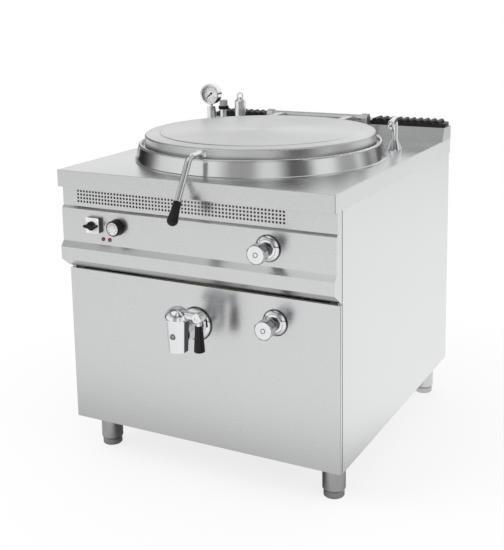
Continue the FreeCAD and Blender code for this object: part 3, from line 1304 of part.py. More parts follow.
def gauge_dial():
    low = GAUGE_DEPTH / 2 - GAUGE_DIAL_BACK - GAUGE_DIAL_T
    dial = rod(GAUGE_DIAL_R, (0, 0, low), (0, 0, low + GAUGE_DIAL_T))
    pivot = rod(NEEDLE_W / 2, (0, 0, low), (0, 0, low + GAUGE_DIAL_T + 2 * OVERCUT))
    return on_gauge(dial.fuse(pivot))


def gauge_glass():
    high = GAUGE_DEPTH / 2 - SEAM
    return on_gauge(rod(GAUGE_R - GAUGE_WALL, (0, 0, high - GAUGE_GLASS_T), (0, 0, high)))


def gauge_needle():
    low = GAUGE_DEPTH / 2 - GAUGE_DIAL_BACK + SEAM
    tip = NEEDLE_TIP_W / 2
    steps = [(-NEEDLE_TAIL, -NEEDLE_W), (NEEDLE_LENGTH, -tip), (NEEDLE_LENGTH, tip), (-NEEDLE_TAIL, NEEDLE_W)]
    face = outline(steps, lambda p: FreeCAD.Vector(p[0], p[1], low))
    hub = rod(NEEDLE_HUB_R, (0, 0, low), (0, 0, low + 2 * NEEDLE_T))
    pivot = rod(NEEDLE_W / 2 + RUNNING, (0, 0, 0), (0, 0, GAUGE_DEPTH))
    needle = joined([face.extrude(FreeCAD.Vector(0, 0, NEEDLE_T)), hub]).cut(pivot)
    needle.rotate(FreeCAD.Vector(0, 0, 0), FreeCAD.Vector(0, 0, 1), NEEDLE_REST_DEG)
    return on_gauge(needle)


def vent_valve_body():
    x = VENT_X
    y = FITTINGS_Y
    nut_top = WORKTOP_Z + VENT_CAP_H
    top = WORKTOP_Z + VENT_BODY_H
    body = rod(VENT_BODY_R, (x, y, WORKTOP_Z), (x, y, top))
    hexagon = prism(HEX_SIDES, VENT_BODY_R, WORKTOP_Z, nut_top, x, y)
    bore = rod(VENT_SPINDLE_R + RUNNING, (x, y, nut_top), (x, y, top + OVERCUT))
    return joined([threaded_foot(x, y), body, hexagon]).cut(bore)


def vent_wheel():
    low = WORKTOP_Z + VENT_BODY_H + SIDE_GAP
    high = low + VENT_WHEEL_H
    wheel = rod(VENT_WHEEL_R, (VENT_X, FITTINGS_Y, low), (VENT_X, FITTINGS_Y, high))
    flutes = []
    for lobe in range(VENT_WHEEL_LOBES):
        angle = 2 * math.pi * lobe / VENT_WHEEL_LOBES
        x = VENT_X + VENT_WHEEL_R * math.cos(angle)
        y = FITTINGS_Y + VENT_WHEEL_R * math.sin(angle)
        flutes.append(rod(VENT_SPINDLE_R, (x, y, low - OVERCUT), (x, y, high + OVERCUT)))
    root = (VENT_X, FITTINGS_Y, WORKTOP_Z + 2 * VENT_CAP_H)
    spindle = rod(VENT_SPINDLE_R, root, (VENT_X, FITTINGS_Y, high))
    return joined([wheel.cut(flutes), spindle])


def vent_cap():
    low = WORKTOP_Z + VENT_BODY_H + SIDE_GAP + VENT_WHEEL_H
    high = low + VENT_CAP_H
    bend = EDGE_R * math.sin(math.pi / 4)
    steps = [(0, low), (VENT_CAP_R, low), (VENT_CAP_R, high - EDGE_R),
             [(VENT_CAP_R - EDGE_R + bend, high - EDGE_R + bend), (VENT_CAP_R - EDGE_R, high)], (0, high)]
    return turned(steps, VENT_X, FITTINGS_Y)


def safety_valve_body():
    top = WORKTOP_Z + SAFETY_H
    steps = [(0, WORKTOP_Z), (SAFETY_R, WORKTOP_Z), (SAFETY_R, top - SAFETY_CHAMFER),
             (SAFETY_R - SAFETY_CHAMFER, top),
             (SAFETY_POST_R, top), (SAFETY_POST_R, top + SAFETY_POST_H), (0, top + SAFETY_POST_H)]
    body = turned(steps, SAFETY_X, FITTINGS_Y)
    pin_z = top + SAFETY_POST_H / 2
    reach = BAIL_R + BAIL_WIRE_R
    pin = rod(BAIL_PIN_R, (SAFETY_X - reach, FITTINGS_Y, pin_z), (SAFETY_X + reach, FITTINGS_Y, pin_z))
    return joined([body, pin, threaded_foot(SAFETY_X, FITTINGS_Y)])


def safety_lever():
    """Lifting bail that turns on a cross pin at the top of the safety valve."""
    y = FITTINGS_Y
    low = WORKTOP_Z + SAFETY_H + SAFETY_POST_H / 2
    high = low + BAIL_LEG
    left = SAFETY_X - BAIL_R
    right = SAFETY_X + BAIL_R
    first = Part.makeLine(vector((left, y, low)), vector((left, y, high)))
    arch = Part.Arc(vector((left, y, high)), vector((SAFETY_X, y, high + BAIL_R)), vector((right, y, high)))
    last = Part.makeLine(vector((right, y, high)), vector((right, y, low)))
    ring = Part.Wire(Part.makeCircle(BAIL_WIRE_R, vector((left, y, low)), FreeCAD.Vector(0, 0, 1)))
    wire = Part.Wire([first, arch.toShape(), last]).makePipeShell([ring], True, False)
    eyes = []
    for x in (left, right):
        eyes.append(rod(2 * BAIL_WIRE_R, (x - BAIL_WIRE_R, y, low), (x + BAIL_WIRE_R, y, low)))
    pin = rod(BAIL_PIN_R + RUNNING, (SAFETY_X - 2 * BAIL_R, y, low), (SAFETY_X + 2 * BAIL_R, y, low))
    return joined([wire] + eyes).cut(pin)


# Filling spout

def spout_base():
    x = SPOUT_X
    y = SPOUT_Y
    top = WORKTOP_Z + SPOUT_BASE_H
    edge_z = WORKTOP_Z + SPOUT_BASE_EDGE
    steps = [(0, WORKTOP_Z), (SPOUT_BASE_R, WORKTOP_Z), (SPOUT_BASE_R, edge_z), (SPOUT_BASE_TOP_R, top),
             (0, top)]
    base = joined([turned(steps, x, y), threaded_foot(x, y)])
    bore = rod(SPOUT_POST_R + RUNNING, (x, y, edge_z), (x, y, top + OVERCUT))
    water = rod(SPOUT_BORE_R - OVERCUT, (x, y, 0), (x, y, top))
    return base.cut([bore, water])


def spout():
    """Swivelling swan neck. It is made pointing along +X and then turned to its resting place."""
    top = WORKTOP_Z + SPOUT_RISE
    mouth = top - SPOUT_DOWN
    low = WORKTOP_Z + SPOUT_BASE_EDGE + SIDE_GAP
    reach = SPOUT_REACH
    outer = swept(SPOUT_POST_R, [(0, 0, low), (0, 0, top), (reach, 0, top), (reach, 0, mouth)], SPOUT_BEND_R)
    head = turned([(0, mouth), (SPOUT_HEAD_R, mouth), (SPOUT_HEAD_R, mouth + SPOUT_HEAD_LENGTH / 2),
                   (SPOUT_POST_R, mouth + SPOUT_HEAD_LENGTH), (0, mouth + SPOUT_HEAD_LENGTH)], reach)
    way = [(0, 0, low - OVERCUT), (0, 0, top), (reach, 0, top), (reach, 0, mouth - OVERCUT)]
    neck = outer.fuse(head).cut(swept(SPOUT_BORE_R, way, SPOUT_BEND_R))
    neck.rotate(FreeCAD.Vector(0, 0, 0), FreeCAD.Vector(0, 0, 1), SPOUT_REST_DEG)
    neck.translate(FreeCAD.Vector(SPOUT_X, SPOUT_Y, 0))
    return neck


# Water and current

def water_pipes():
    """Supply from the floor pan to the fill tap, and feed from the tap to the spout."""
    low = BASE_Z - INLET_DROP
    nut_z = PAN_TOP_Z + INLET_NUT_H
    stub = rod(INLET_R, (INLET_X, ENTRY_Y, low), (INLET_X, ENTRY_Y, BASE_Z))
    shank = rod(INLET_SHANK_R, (INLET_X, ENTRY_Y, BASE_Z), (INLET_X, ENTRY_Y, nut_z + OVERCUT))
    nut = prism(HEX_SIDES, INLET_NUT_R, PAN_TOP_Z, nut_z, INLET_X, ENTRY_Y)
    y = SUPPLY_Y
    supply = [(INLET_X, ENTRY_Y, low), (INLET_X, ENTRY_Y, SUPPLY_LOW_Z), (INLET_X, y, SUPPLY_LOW_Z),
              (INLET_X, y, FILL_TAP_Z), (FILL_TAP_X + VALVE_BODY_R, y, FILL_TAP_Z)]
    shank_end = UNDER_TOP_Z - SHANK_DROP
    turn_z = shank_end - FEED_DROP
    feed = [(FILL_TAP_X, y, FILL_TAP_Z + VALVE_BODY_R), (FILL_TAP_X, y, FEED_Z), (FEED_X, y, FEED_Z),
            (FEED_X, SPOUT_Y, FEED_Z), (FEED_X, SPOUT_Y, turn_z), (SPOUT_X, SPOUT_Y, turn_z),
            (SPOUT_X, SPOUT_Y, shank_end)]
    supply_pipe = joined([stub, shank, nut, swept(PIPE_R, supply, PIPE_BEND_R)])
    supply_pipe = supply_pipe.cut(swept(PIPE_BORE_R, supply, PIPE_BEND_R))
    feed_pipe = swept(PIPE_R, feed, PIPE_BEND_R).cut(swept(PIPE_BORE_R, feed, PIPE_BEND_R))
    return Part.makeCompound([supply_pipe, feed_pipe])


def cable_gland():
    x = GLAND_X
    y = ENTRY_Y
    low = BASE_Z - GLAND_DROP
    cap_z = low + GLAND_HEX_H
    top = PAN_TOP_Z + GLAND_HEX_H
    shank = rod(GLAND_R, (x, y, cap_z), (x, y, top))
    steps = [(0, low), (GLAND_R - SEAM, low), (GLAND_R, low + GLAND_HEX_H / 2), (GLAND_R, cap_z), (0, cap_z)]
    outer_nut = prism(HEX_SIDES, GLAND_HEX_R, BASE_Z - GLAND_HEX_H, BASE_Z, x, y)
    inner_nut = prism(HEX_SIDES, GLAND_HEX_R, PAN_TOP_Z, PAN_TOP_Z + GLAND_HEX_H / 2, x, y)
    bore = rod(GLAND_BORE_R, (x, y, low - OVERCUT), (x, y, top + OVERCUT))
    return joined([shank, turned(steps, x, y), outer_nut, inner_nut]).cut(bore)


def terminal_block():
    y = ENTRY_Y - TERMINAL_LEAD
    half = TERMINAL_L / 2
    deep = TERMINAL_W / 2
    high = PAN_TOP_Z + TERMINAL_H
    block = box((GLAND_X - half, y - deep, PAN_TOP_Z), (GLAND_X + half, y + deep, high))
    screws = []
    for pole in range(TERMINAL_POLES):
        x = GLAND_X + (pole - (TERMINAL_POLES - 1) / 2) * TERMINAL_L / TERMINAL_POLES
        screws.append(rod(TERMINAL_SCREW_R, (x, y, high - 2 * OVERCUT), (x, y, high + OVERCUT)))
    return block.cut(screws)


def pieces():
    nodes = {
        "worktop": worktop(),
        "upstand": upstand(),
        "flue_grille_ends": flue_grille_ends(),
        "flue_grille_centre": flue_grille_centre(),
        "control_panel": control_panel(),
        "vent_band": vent_band(),
        "front_panel": front_panel(),
        "side_panels": side_panels(),
        "rear_panel": rear_panel(),
        "floor_pan": floor_pan(),
        "frame": frame(),
        "leg_tubes": leg_tubes(),
        "inner_vessel": inner_vessel(),
        "jacket_shell": jacket_shell(),
        "insulation": insulation(),
        "heating_elements": heating_elements(),
        "collar": collar(),
        "lid_shell": lid_shell(),
        "lid_liner": lid_liner(),
        "lid_hinge": lid_hinge(),
        "hinge_brackets": hinge_brackets(),
        "lid_handle": lid_handle(),
        "lid_grip": lid_grip(),
        "drain_pipe": drain_pipe(),
        "drain_strainer": drain_strainer(),
        "drain_rosette": drain_rosette(),
        "drain_valve_body": drain_valve_body(),
        "drain_plug": drain_plug(),
        "drain_lever": drain_lever(),
        "drain_grip": drain_grip(),
        "tap_rosettes": tap_rosettes(),
        "fill_tap_valve": fill_tap_valve(),
        "fill_tap_knob": tap_knob(FILL_TAP_X, FACE_Y, FILL_TAP_Z),
        "level_tap_valve": level_tap_valve(),
        "level_tap_knob": tap_knob(LEVEL_TAP_X, PANEL_Y, LEVEL_TAP_Z),
        "switch_plate": switch_plate(),
        "switch_knob": switch_knob(),
        "switch_block": switch_block(),
        "thermostat_knob": thermostat_knob(),
        "thermostat_block": thermostat_block(),
        "pilot_lamps": pilot_lamps(),
        "gauge_stem": gauge_stem(),
        "gauge_case": gauge_case(),
        "gauge_dial": gauge_dial(),
        "gauge_glass": gauge_glass(),
        "gauge_needle": gauge_needle(),
        "vent_valve_body": vent_valve_body(),
        "vent_wheel": vent_wheel(),
        "vent_cap": vent_cap(),
        "safety_valve_body": safety_valve_body(),
        "safety_lever": safety_lever(),
        "spout_base": spout_base(),
        "spout": spout(),
        "water_pipes": water_pipes(),
        "cable_gland": cable_gland(),
        "terminal_block": terminal_block(),
    }
    names = ("foot_front_left", "foot_front_right", "foot_rear_left", "foot_rear_right")
    for name, place in zip(names, leg_places()):
        nodes[name] = foot(*place)
    return nodes


def main():
    os.makedirs("parts", exist_ok=True)
    for name, shape in pieces().items():
        if not shape.isValid():
            raise ValueError(name + " is not a valid solid")
        shape.exportStep(os.path.join("parts", name + ".step"))
        print(name, len(shape.Solids), round(shape.Volume, 1))


main()
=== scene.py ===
import math

import bmesh
import bpy
from bpy.props import FloatProperty, FloatVectorProperty, IntProperty, PointerProperty
from mathutils import Matrix, Vector


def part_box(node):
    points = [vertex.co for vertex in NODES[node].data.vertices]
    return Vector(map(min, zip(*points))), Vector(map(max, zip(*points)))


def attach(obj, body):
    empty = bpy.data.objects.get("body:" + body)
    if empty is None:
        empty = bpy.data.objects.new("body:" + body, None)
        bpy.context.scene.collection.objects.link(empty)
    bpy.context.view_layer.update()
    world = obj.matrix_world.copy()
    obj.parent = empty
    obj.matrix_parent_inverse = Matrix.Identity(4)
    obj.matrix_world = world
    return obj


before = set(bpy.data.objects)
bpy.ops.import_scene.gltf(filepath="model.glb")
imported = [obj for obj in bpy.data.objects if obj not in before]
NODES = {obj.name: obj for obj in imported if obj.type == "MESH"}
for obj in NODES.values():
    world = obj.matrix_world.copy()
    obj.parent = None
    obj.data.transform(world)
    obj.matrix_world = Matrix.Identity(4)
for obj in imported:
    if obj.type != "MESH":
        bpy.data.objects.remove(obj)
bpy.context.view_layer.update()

bl_info = {
    "name": "Jacketed kettle",
    "version": (1, 0, 0),
    "blender": (4, 5, 0),
    "location": "View3D > Sidebar > Kettle",
    "description": "Finishes and small fittings for a jacketed kettle, round its packed frame",
    "category": "Object",
}

# Colours of pieces that a user would leave as they are
BLACK = (0.0, 0.0, 0.0)
WHITE = (1.0, 1.0, 1.0)
INK = (0.02, 0.02, 0.02)
ZINC = (0.45, 0.47, 0.48)
HEATER_SHEATH = (0.3, 0.29, 0.28)
MINERAL_WOOL = (0.62, 0.56, 0.36)
BRASS = (0.72, 0.52, 0.25)
COPPER = (0.75, 0.38, 0.24)
# a darker copy of the chrome: painted shade on the water taps' bonnets
BONNET_PAINTED_SHADE = (0.30, 0.30, 0.31)
SILVER = (0.84, 0.845, 0.85)
PLATE_DULL = (0.84, 0.84, 0.84)
PLATE_BRIGHT = (0.90, 0.90, 0.90)
TERMINAL_WHITE = (0.86, 0.86, 0.86)
GLAND_GREY = (0.10, 0.105, 0.115)
CAP_GREY = (0.30, 0.305, 0.315)

BLACK_SHINE = 0.16      # how strongly black plastic and enamel mirror the room
INK_SHINE = 0.2         # the same for printed marks and the gauge's needle

# The broad lines under the fine grain of brushed steel, as multiples of the fine ones
BROAD_WIDTH = 9
BROAD_LENGTH = 4
BROAD_DEPTH = 3

# Sizes of the small pieces and marks, in metres
SHARP_EDGE = math.radians(35)
PRINT = 0.0002          # thickness of a printed mark
SEAT = 0.0006           # depth of a disc's base behind its knob's front

INDEX_RADIUS = 0.0064
INDEX_HEIGHT = 0.0006
INDEX_HOLLOW = 0.0046   # radius at which the raised ring ends
INDEX_EDGE = 0.0004     # slope at both sides of the raised ring
INDEX_FLOOR = 0.0002    # height of the hollow inside the ring
INDEX_SIDES = 32

FACE_RADIUS = 0.0168
FACE_HEIGHT = 0.0005
FACE_EDGE = 0.0006      # width of the bevel round the face
FACE_DROP = 0.0002
FACE_SIDES = 64

SCALE_RADIUS = 0.0128
SCALE_LENGTH = 0.0036
SCALE_WIDTH = 0.0015

DIAL_THICKNESS = 0.001
DIAL_REACH = 0.0235     # radius at which the gauge's marks end
FINE_MARK = (0.0022, 0.0004)     # length and width
BOLD_MARK = (0.004, 0.0009)
BOLD_EVERY = 5          # fine steps from one bold mark to the next

PLATE_FRONT = 0.0021    # thickness of the switch's white front plate

ROSETTE_RADIUS = 0.034
KNOB_RADIUS = 0.0255
DRAIN_ROSETTE_RADIUS = 0.045
RECESS_RADIUS = 0.0083
RECESS_DEPTH = 0.001
RECESS_RISE = 0.002     # height of the recess above the drain pipe's axis

# Painted shade on chrome: dark rings and a dark recess that stand in for shade and dark
# reflections, as pairs of a share of the radius and a brightness
ROSETTE_PAINTED_RINGS = [(0.0, 0.3), (0.5, 0.35), (0.54, 1.0), (0.66, 1.0), (0.70, 0.4), (0.74, 1.0),
                 (0.9, 0.95), (0.95, 0.1), (1.0, 0.08)]
KNOB_PAINTED_RINGS = [(0.0, 1.0), (0.82, 1.0), (0.89, 0.3), (0.93, 0.75), (1.0, 0.35)]
RECESS_PAINTED_SHADE = [(0.0, 0.35), (0.55, 0.4), (0.7, 0.08), (0.98, 0.08), (1.0, 1.0)]
# The drain tap's faces, from those that look ahead at 0 to those that look sideways at 1; the
# sideways faces get a painted dark reflection
TAP_PAINTED_SIDES = [(0.0, 1.0), (0.9, 1.0), (0.925, 0.1), (1.0, 0.08)]

# What metal sees of the room, as pairs of a place and a brightness. Heights run from the
# horizon to straight up, and bearings once round from the left by way of the front.
ROOM_BEHIND = [(0.0, 0.1), (0.05, 0.55), (0.10, 0.86), (0.22, 0.97), (0.5, 1.0), (0.75, 0.55),
               (1.0, 0.9)]
ROOM_AHEAD = [(0.0, 0.1), (0.04, 0.75), (0.16, 0.95), (0.26, 0.95), (0.36, 0.85), (0.55, 0.65),
              (0.68, 0.15), (0.76, 0.95), (1.0, 1.0)]
# How far the heights ahead hold, from the front at 0 to the back at 1
AHEAD_SHARE = [(0.0, 1.0), (0.42, 1.0), (0.54, 0.0), (1.0, 0.0)]
ROOM_POSTS = [(0.0, 0.3), (0.04, 0.95), (0.12, 1.0), (0.21, 1.0), (0.25, 0.45), (0.30, 0.45),
              (0.33, 0.95), (0.36, 0.95), (0.40, 0.12), (0.44, 0.2), (0.47, 1.0), (0.51, 1.0),
              (0.54, 0.5), (0.58, 0.5), (0.60, 0.9), (0.64, 0.3), (0.67, 1.0), (0.865, 1.0),
              (0.895, 0.2), (0.97, 0.2), (1.0, 0.3)]

FLOOR_HALF_WIDTH = 9.0
FLOOR_REACH = 4.0       # distance from the middle that counts as 1, in metres
FLOOR_SCALE = 0.2       # from front to back and from side to side, 5 metres count as 1
FLOOR_NEAR_END = 0.13   # where the floor begins to turn white for the camera
FLOOR_WHITE_FROM = 0.30

# What metal sees of the floor: from front to back and from side to side, by distance from the
# middle with a painted shadow under the cabinet, and the gaps by bearing, as shares that are taken
# away
FLOOR_FRONT = [(0.0, 1.0), (0.20, 0.95), (0.33, 0.95), (0.38, 0.65), (0.42, 0.5), (0.46, 0.5),
               (0.51, 1.0)]
FLOOR_SIDE = [(0.0, 0.9), (0.40, 0.97), (0.5, 1.0), (0.8, 1.0)]
FLOOR_PAINTED_SHADOW = [(0.0, 0.15), (0.10, 0.2), (0.13, 1.0)]
FLOOR_FAR = [(0.0, 0.0), (0.3, 0.0), (0.42, 1.0)]
FLOOR_GAPS = [(0.0, 0.0), (0.37, 0.0), (0.40, 0.9), (0.46, 0.9), (0.48, 0.0), (0.51, 0.0),
              (0.53, 0.4), (0.58, 0.4), (0.60, 0.0), (0.73, 0.0), (0.78, 0.92), (0.88, 0.92),
              (0.905, 0.0)]

LAMP_AIM = (0.0, 0.0, 0.5)
KEY_PLACE = (-2.2, -2.6, 3.0)
KEY_SIZE = 2.4
FILL_PLACE = (3.0, -0.6, 2.2)
FILL_SIZE = 2.0

# The camera as solved from the photograph, in pixels, metres and degrees
PICTURE_WIDTH = 504.0
PICTURE_HEIGHT = 550.0
FOCAL_LENGTH = 984.087
CENTRE_X = 259.845
CENTRE_Y = 160.0
CAMERA_PLACE = (1.262804, -2.425883, 1.288304)
CAMERA_YAW = 27.576
CAMERA_PITCH = 10.213
CAMERA_ROLL = -0.922
SENSOR_WIDTH = 36.0
VIEW_END = 50.0


# Sizes and colours that a user would change

class KettleSteel(bpy.types.PropertyGroup):
    """Colour and grain of the stainless sheets."""

    colour: FloatVectorProperty(
        name="Colour", description="Colour of the stainless sheets",
        subtype="COLOR", default=(0.70, 0.705, 0.71))
    grain_width: FloatProperty(
        name="Grain width", description="Width of one brushed line",
        unit="LENGTH", default=0.0007)
    grain_length: FloatProperty(
        name="Grain length", description="Length of one brushed line",
        unit="LENGTH", default=0.12)
    grain_depth: FloatProperty(
        name="Grain depth", description="Depth of the brushed lines",
        unit="LENGTH", default=0.00004)
    gloss: FloatProperty(
        name="Roughness", description="Roughness of the brushed sheets",
        subtype="FACTOR", default=0.26)
    haze_size: FloatProperty(
        name="Haze size", description="Size of the wiped, cloudy patches",
        unit="LENGTH", default=0.18)


class KettleFittings(bpy.types.PropertyGroup):
    """Colours of the fittings."""

    chrome: FloatVectorProperty(
        name="Chrome", description="Colour of the chromed fittings",
        subtype="COLOR", default=(0.86, 0.865, 0.88))
    bakelite: FloatVectorProperty(
        name="Bakelite", description="Colour of grips and knobs",
        subtype="COLOR", default=(0.012, 0.012, 0.013))
    casting: FloatVectorProperty(
        name="Casting", description="Colour of the enamelled grille ends",
        subtype="COLOR", default=(0.018, 0.018, 0.02))
    casting_middle: FloatVectorProperty(
        name="Middle casting", description="Colour of the grille's middle length",
        subtype="COLOR", default=(0.50, 0.51, 0.52))
    lens: FloatVectorProperty(
        name="Lens", description="Colour of the pilot lamps",
        subtype="COLOR", default=(0.11, 0.012, 0.05))
    dial: FloatVectorProperty(
        name="Dial", description="Colour of the gauge's dial",
        subtype="COLOR", default=(0.87, 0.87, 0.87))
    disc: FloatVectorProperty(
        name="Index disc", description="Colour of the discs on the tap knobs",
        subtype="COLOR", default=(0.62, 0.63, 0.65))


class KettleMarks(bpy.types.PropertyGroup):
    """Marks on the dials."""

    dial_steps: IntProperty(
        name="Dial steps", description="Spaces between the marks of the gauge", default=30)
    dial_sweep: FloatProperty(
        name="Dial sweep", description="Angle that the gauge's marks span",
        subtype="ANGLE", default=math.radians(270))
    scale_steps: IntProperty(
        name="Scale steps", description="Spaces between the marks of the thermostat", default=9)
    scale_sweep: FloatProperty(
        name="Scale sweep", description="Angle that the thermostat's marks span",
        subtype="ANGLE", default=math.radians(280))


class KettleStudio(bpy.types.PropertyGroup):
    """Floor and light."""

    floor: FloatVectorProperty(
        name="Floor", description="Colour of the floor",
        subtype="COLOR", default=(0.90, 0.90, 0.90))
    floor_near: FloatProperty(
        name="Floor near the feet", description="How white the floor looks near the feet",
        subtype="FACTOR", default=0.8)
    key_power: FloatProperty(
        name="Key lamp", description="Power of the large lamp",
        unit="POWER", default=70.0)
    fill_power: FloatProperty(
        name="Fill lamp", description="Power of the side lamp",
        unit="POWER", default=35.0)
    ambient: FloatProperty(
        name="Ambient", description="Strength of the room's light", default=0.75)


# Shader building

class Value:
    """One output socket, with arithmetic that adds Math nodes."""

    def __init__(self, finish, socket):
        self.finish = finish
        self.socket = socket

    def __add__(self, other):
        return self.finish.math("ADD", self, other)

    def __sub__(self, other):
        return self.finish.math("SUBTRACT", self, other)

    def __rsub__(self, other):
        return self.finish.math("SUBTRACT", other, self)

    def __mul__(self, other):
        return self.finish.math("MULTIPLY", self, other)

    def __truediv__(self, other):
        return self.finish.math("DIVIDE", self, other)

    __radd__ = __add__
    __rmul__ = __mul__


class Finish:
    """A material, or the world, that is built from nodes."""

    def __init__(self, name, owner=None, **uniform):
        self.material = owner or bpy.data.materials.new(name)
        self.material.use_nodes = True
        self.tree = self.material.node_tree
        self.tree.nodes.clear()
        if owner is None:
            self.surface = self.tree.nodes.new("ShaderNodeBsdfPrincipled")
            self.output = self.tree.nodes.new("ShaderNodeOutputMaterial")
            self.tree.links.new(self.surface.outputs["BSDF"], self.output.inputs["Surface"])
            for socket, value in uniform.items():
                self.set(socket.replace("_", " "), value)

    def node(self, kind, settings=None, inputs=None, output=0):
        """Adds a node, its settings first, then its inputs as values or links. Gives one output."""
        node = self.tree.nodes.new(kind)
        for name, value in (settings or {}).items():
            if name == "stops":
                self.stops(node.color_ramp, value)
            else:
                setattr(node, name, value)
        for name, value in (inputs or {}).items():
            self.plug(node.inputs[name], value)
        return Value(self, node.outputs[output])

    def stops(self, ramp, stops):
        """Sets a ramp's stops from pairs of a position and a level of grey."""
        while len(ramp.elements) < len(stops):
            ramp.elements.new(0.5)
        for element, (position, level) in zip(ramp.elements, stops):
            element.position = position
            element.color = (level, level, level, 1.0)

    def plug(self, socket, value):
        """Links a value to a socket, or sets the socket to a number or a colour."""
        if isinstance(value, Value):
            self.tree.links.new(value.socket, socket)
        elif socket.type == "RGBA" and len(value) == 3:
            socket.default_value = (*value, 1.0)
        else:
            socket.default_value = value

    def set(self, name, value):
        self.plug(self.surface.inputs[name], value)

    def math(self, operation, a, b=0.0):
        return self.node("ShaderNodeMath", {"operation": operation}, {0: a, 1: b})

    def vector(self, operation, a, b=(0.0, 0.0, 0.0), output=0):
        return self.node("ShaderNodeVectorMath", {"operation": operation}, {0: a, 1: b}, output)

    def place(self):
        return self.node("ShaderNodeTexCoord", output="Object")

    def split(self, vector):
        """The three parts of a vector."""
        outputs = self.node("ShaderNodeSeparateXYZ", None, {0: vector}).socket.node.outputs
        return [Value(self, outputs[axis]) for axis in "XYZ"]

    def rays(self, *kinds):
        """For each kind of ray, 1 where such a ray sees the surface and 0 elsewhere."""
        outputs = self.node("ShaderNodeLightPath").socket.node.outputs
        return [Value(self, outputs[kind]) for kind in kinds]

    def bearing(self, x, y):
        """The direction round the vertical axis, from 0 to 1."""
        return self.math("ARCTAN2", y, x) / (2 * math.pi) + 0.5

    def noise(self, place, scale=1.0, detail=2.0, roughness=0.5):
        values = {"Vector": place, "Scale": scale, "Detail": detail, "Roughness": roughness}
        return self.node("ShaderNodeTexNoise", None, values)

    def ramp(self, factor, stops):
        return self.node("ShaderNodeValToRGB", {"stops": stops}, {"Fac": factor})

    def between(self, factor, low, high):
        """A number that goes from low to high as the factor goes from 0 to 1."""
        return factor * (high - low) + low

    def mix(self, factor, a, b):
        """Mixes two colours. The numbers are the Mix node's sockets for colours."""
        return self.node("ShaderNodeMix", {"data_type": "RGBA"}, {0: factor, 6: a, 7: b}, 2)

    def bump(self, height, distance, strength=1.0, normal=None):
        inputs = {"Height": height, "Distance": distance, "Strength": strength}
        if normal is not None:
            inputs["Normal"] = normal
        return self.node("ShaderNodeBump", None, inputs)


def shade(colour, factor):
    """The colour made darker or paler."""
    return tuple(min(channel * factor, 1.0) for channel in colour)


def grain_place(finish, along, width, length):
    """Object coordinates drawn out, so that noise makes lines along an axis or round the vessel."""
    place = finish.place()
    if along == "ROUND":
        x, y, z = finish.split(place)
        flat = finish.vector("MULTIPLY", place, (1.0, 1.0, 0.0))
        radius = finish.vector("LENGTH", flat, output="Value")
        drawn = {0: radius / width + x / length, 1: z / width, 2: y / length}
        return finish.node("ShaderNodeCombineXYZ", None, drawn)
    rates = [1.0 / length if axis == along else 1.0 / width for axis in "XYZ"]
    return finish.vector("MULTIPLY", place, tuple(rates))


def brushed(name, along, steel, colour=None, gloss=None, depth=1.0, haze=1.0, stretch=0.6):
    """Brushed or satin stainless steel: fine lines, a cloudy haze and a trace of wiping."""
    colour = colour or tuple(steel.colour)
    gloss = steel.gloss if gloss is None else gloss
    width, length = steel.grain_width, steel.grain_length
    finish = Finish(name, Metallic=1.0, Anisotropic=stretch, Anisotropic_Rotation=0.25)
    fine_place = grain_place(finish, along, width, length)
    broad_place = grain_place(finish, along, width * BROAD_WIDTH, length * BROAD_LENGTH)
    lines = finish.noise(fine_place, detail=3.0, roughness=0.65)
    broad = finish.noise(broad_place)
    cloud = finish.noise(finish.place(), scale=1.0 / steel.haze_size, detail=4.0, roughness=0.55)
    tone = finish.between(lines, 0.0, 0.5) + finish.between(cloud, 0.0, 0.5)
    dark, pale = shade(colour, 1.0 - 0.06 * haze), shade(colour, 1.0 + 0.05 * haze)
    finish.set("Base Color", finish.mix(tone, dark, pale))
    smear = finish.between(cloud, -0.07 * haze, 0.09 * haze)
    finish.set("Roughness", finish.between(lines, -0.05, 0.05) + smear + gloss)
    relief = finish.bump(broad, steel.grain_depth * BROAD_DEPTH * depth, strength=0.5)
    fine = finish.bump(lines, steel.grain_depth * depth, strength=0.6, normal=relief)
    finish.set("Normal", fine)
    return finish.material


def buffed(finish, low, high):
    """Gives metal the uneven gloss and slight waviness of a buffed casting. Returns its smears."""
    smear = finish.noise(finish.place(), scale=240.0, detail=3.0, roughness=0.6)
    swell = finish.noise(finish.place(), scale=60.0)
    finish.set("Roughness", finish.between(smear, low, high))
    finish.set("Normal", finish.bump(swell, distance=0.00006, strength=0.6))
    return smear


def polished(name, colour, gloss=0.06):
    """Polished metal."""
    finish = Finish(name, Metallic=1.0)
    smear = buffed(finish, gloss * 0.7, gloss * 1.6)
    finish.set("Base Color", finish.mix(smear, shade(colour, 0.96), shade(colour, 1.03)))
    return finish.material


def chrome_with_painted_shade(finish, colour, level):
    """Chrome with painted shade: its colour is darker where the level is low."""
    smear = buffed(finish, 0.05, 0.1)
    finish.set("Base Color", finish.mix(finish.between(smear, 0.92, 1.0) * level, BLACK, colour))
    return finish.material


def chrome_with_painted_rings(name, colour, radius, rings, *centres):
    """Chrome with painted dark rings round some centres on the front, by share of the radius, as
    painted shade and painted dark reflections.
    """
    finish = Finish(name, Metallic=1.0)
    flat = finish.vector("MULTIPLY", finish.place(), (1.0, 0.0, 1.0))
    near = 1.0
    for centre in centres:
        apart = finish.vector("DISTANCE", flat, (centre.x, 0.0, centre.z), "Value")
        near = finish.math("MINIMUM", apart / radius, near)
    return chrome_with_painted_shade(finish, colour, finish.ramp(near, rings))


